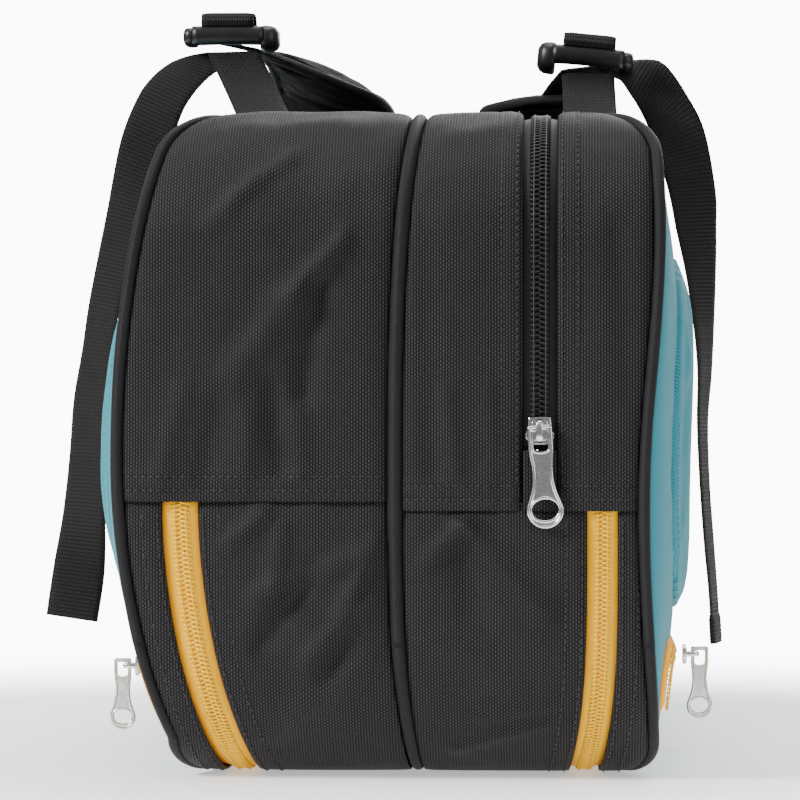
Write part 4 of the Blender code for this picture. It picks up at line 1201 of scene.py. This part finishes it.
def make_tail(name):
    """A loose webbing tail with a folded end."""
    route = TAIL_ROUTES[name]
    side, level = -1 if name == "left" else 1, TAIL_Y + 6 * MM
    rows = []
    for x, z, half_x, half_z in TAIL_STARTS[name]:
        deep = side * sqrt(max((WEBBING / 2 / MM) ** 2 - half_x**2 - half_z**2, 0))
        rows.append(tuple(MM * value for value in (x, level / MM, z, half_x, deep, half_z)))
    points = [Vector((x * MM, level, z * MM)) for x, z, _ in route]
    for i, (_, _, shown) in enumerate(route):
        along = (points[min(i + 1, len(points) - 1)] - points[max(i - 1, 0)]).normalized()
        half = (along.cross(Y) if side < 0 else -Y.cross(along)) * shown * MM / 2
        half = half + side * Y * sqrt(WEBBING**2 - (shown * MM) ** 2) / 2
        rows.append((*points[i], *half))
    made = webbing(name + "_strap_tail", rows, body=name + "_tail", rib=0.3 * MM, hems=(0, 13 * MM))
    _, gone = smooth_route(rows, RIB / 4)


PAD_HALF_T, PAD_TAPER, BINDING_R = 3.4 * MM, 45 * MM, 2.5 * MM
EDGE_POWER, CROWN_POWER = 0.45, 0.8  # square the pad's section off


def make_pad(name):
    """A padded shoulder strap that narrows towards its lock, puffed up and bound round its edge."""
    rows, gone = smooth_route([(x * MM, y * MM, z * MM, roll) for x, y, z, roll in PAD_ROUTES[name]], 4 * MM)
    last = gone[-1]
    sections, rims = [], ([], [])
    for (x, y, z, roll), done in zip(rows, gone):
        half = PAD_WIDTH / 2 * (1 - 0.5 * max(0, (done - last + PAD_TAPER) / PAD_TAPER) ** 2) - 2 * MM
        turned = Matrix.Rotation(radians(roll), 3, Y)
        centre = Vector((x, y, z))
        ring = []
        for k in range(PAD_SIDES):
            a = 2 * pi * (k + 0.5) / PAD_SIDES
            across, rise = cos(a), sin(a)
            edge = half * abs(across) ** EDGE_POWER * (1 if across > 0 else -1)
            tall = PAD_HALF_T * abs(rise) ** CROWN_POWER * (1 if rise > 0 else -1)
            ring.append(turned @ Vector((edge, 0, tall)) + centre)
        sections.append(ring)
        for rim, side in zip(rims, (-1, 1)):
            rim.append(turned @ Vector((side * (half - 0.9 * MM), 0, 0)) + centre)
    spots = np.array([[tuple(point) for point in ring] for ring in sections])
    stuffed = capped(grid(spots, spots[..., :2], wrap_columns=True), PAD_SIDES)
    made = build(name + "_shoulder_pad_stuffed", [stuffed], FLEECE)
    sewn = np.array([tuple(point) for rim in rims for point in rim])

    def at_binding(spots):
        return np.linalg.norm(spots[:, None] - sewn[None], axis=2).min(axis=1) < 6 * MM

    swell(made, 4 * MM, 4.0, 4 * MM, at_binding)
    settle(made, "bag", "black_fleece", name + "_shoulder_pad")
    loop = [tuple(p) for p in rims[0]] + [tuple(p) for p in reversed(rims[1])]
    smooth, _ = smooth_route(loop + loop[:1], 3 * MM)
    binding = tube_part(smooth[:-1], BINDING_R, 10, closed=True)
    piece(name + "_shoulder_pad_binding", [binding], HERRINGBONE, "black_webbing")


def make_straps():
    """Both shoulder straps, and the yoke they start from."""
    for name in ("left", "right"):
        make_pad(name)
        make_lock(name)
        make_tail(name)
        for part, route in (("anchor_webbing", ANCHOR_ROUTES[name]), ("pad_link", LINK_ROUTES[name])):
            rows = []
            for x, y, z, roll in route:
                wide = Vector((cos(radians(roll)), 0, -sin(radians(roll)))) * WEBBING / 2
                rows.append((x * MM, y * MM, z * MM, *wide))
            webbing(f"{name}_{part}", rows, rib=0.3 * MM)
    low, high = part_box("strap_yoke")
    mid = (low + high) / 2
    rows = [(x, mid.y, mid.z, 0, (high.y - low.y) / 2, 0) for x in np.linspace(low.x, high.x, 6)]
    webbing("strap_yoke", rows, high.z - low.z - 0.3 * MM, rib=0.25 * MM)
    rows = []
    for y in (low.y + 3 * MM, high.y - 3 * MM):
        x = np.arange(low.x + 4 * MM, high.x - 4 * MM, STITCH)
        rows.append(sewn_row(spread(x, y, high.z + 0.1 * MM), Z))
    stitching("strap_yoke_stitching", rows, GREY_THREAD, "black_webbing")


HANDLE_X, HANDLE_Y, HANDLE_Z = CENTRE_X + 5 * MM, LENGTH / 2 + 4.2 * MM, 236 * MM
HANDLE_HALF, HANDLE_SAG, HANDLE_WIDTH, HANDLE_T = 46 * MM, 26 * MM, 18 * MM, 3 * MM


def make_grab_handle():
    """The sagging handle on the far end, and its two boxed tabs."""
    rows = []
    for t in np.linspace(-1, 1, 9):
        slope = 2 * HANDLE_SAG * t / HANDLE_HALF
        across = Vector((-slope, 0, 1)).normalized() * HANDLE_WIDTH / 2
        rows.append((HANDLE_X + HANDLE_HALF * t, HANDLE_Y, HANDLE_Z - HANDLE_SAG * (1 - t * t), *across))
    webbing("grab_handle", rows, HANDLE_T, "grab_handle", rib=0.3 * MM)
    for name in ("grab_handle_left_tab", "grab_handle_right_tab"):
        low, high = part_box(name)
        mid = (low + high) / 2
        rows = [(x, mid.y, mid.z, 0, 0, (high.z - low.z) / 2) for x in np.linspace(low.x, high.x, 5)]
        webbing(name, rows, high.y - low.y - 0.3 * MM, rib=0.25 * MM)
        sewn, out = [], high.y + 0.15 * MM
        inset = 2.5 * MM
        corners = [(low.x + inset, low.z + inset), (high.x - inset, low.z + inset),
                   (high.x - inset, high.z - inset), (low.x + inset, high.z - inset)]
        for start, end in zip(corners, corners[1:] + corners[:1]):
            x, z = (np.linspace(a, b, 7)[:-1] for a, b in zip(start, end))
            sewn.append(sewn_row(spread(x, out, z), Y))
        stitching(name + "_stitching", sewn, GREY_THREAD, "black_webbing")


# ---------------------------------------------------------------- studio


def make_studio():
    """White air, a pale floor, four soft lamps and the camera."""
    bpy.ops.mesh.primitive_plane_add(size=3, location=(0, 0, -1.2 * MM))
    floor = bpy.context.object
    floor.name = "studio_floor"
    floor.data.materials.append(paper_look())
    world = bpy.data.worlds.new("studio_air")
    world.use_nodes = True
    air, white = Nodes(world.node_tree), rgb(1, 1, 1)
    direction = air.node("TexCoord").outputs["Generated"]
    rise = {"Value": air.node("SeparateXYZ", {0: direction}).outputs["Z"], "From Min": -0.2, "From Max": 1.0,
            "To Min": 0.10, "To Max": 0.75}
    strength = air.node("MapRange", rise).outputs[0]
    lit = air.node("Background", {"Color": white, "Strength": strength}).outputs[0]
    seen = air.node("Background", {"Color": white, "Strength": 11.0}).outputs[0]
    straight = air.node("LightPath").outputs["Is Camera Ray"]
    mixed = air.node("MixShader", {0: straight, 1: lit, 2: seen}).outputs[0]
    air.put(air.tree.nodes["World Output"].inputs["Surface"], mixed)
    bpy.context.scene.world = world
    for name, place, size, energy in (
        ("key", (-1.9, -1.3, 1.5), 0.8, 105),
        ("fill", (2.0, -1.8, 0.9), 1.4, 20),
        ("top", (0.1, 0.1, 2.4), 1.6, 40),
        ("back", (0.6, 2.6, 1.4), 1.8, 60),
    ):
        light = bpy.data.lights.new(name, "AREA")
        light.size, light.energy = size, energy
        lamp = bpy.data.objects.new(name, light)
        bpy.context.scene.collection.objects.link(lamp)
        lamp.location = place
        lamp.rotation_euler = (Vector((0, 0, 0.15)) - Vector(place)).to_track_quat("-Z", "Y").to_euler()
    camera = bpy.data.objects.new("camera", bpy.data.cameras.new("camera"))
    bpy.context.scene.collection.objects.link(camera)
    turn, distance = radians(2.7), 1.69
    aim = Vector((17.2 * MM, -LENGTH / 2, 147 * MM))
    camera.location = aim + distance * Vector((sin(turn), -cos(turn), 0))
    camera.rotation_euler = (radians(90), 0, turn)
    camera.data.lens, camera.data.sensor_width = 175, 36
    camera.data.shift_y = 0.0532
    bpy.context.scene.camera = camera


def main():
    make_studio()
    make_panels()
    make_pipings()
    make_shell_zips()
    for name, side in (("left", -1), ("right", 1)):
        make_face(name, side)
        make_pocket(name, side)
        make_pocket_zip(name, side, POCKET_ZIPS[name])
    make_sliders()
    make_straps()
    make_grab_handle()
    for name in ("centre_divider", "right_divider"):
        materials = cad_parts[name].data.materials
        materials.clear()
        materials.append(LINING)


main()
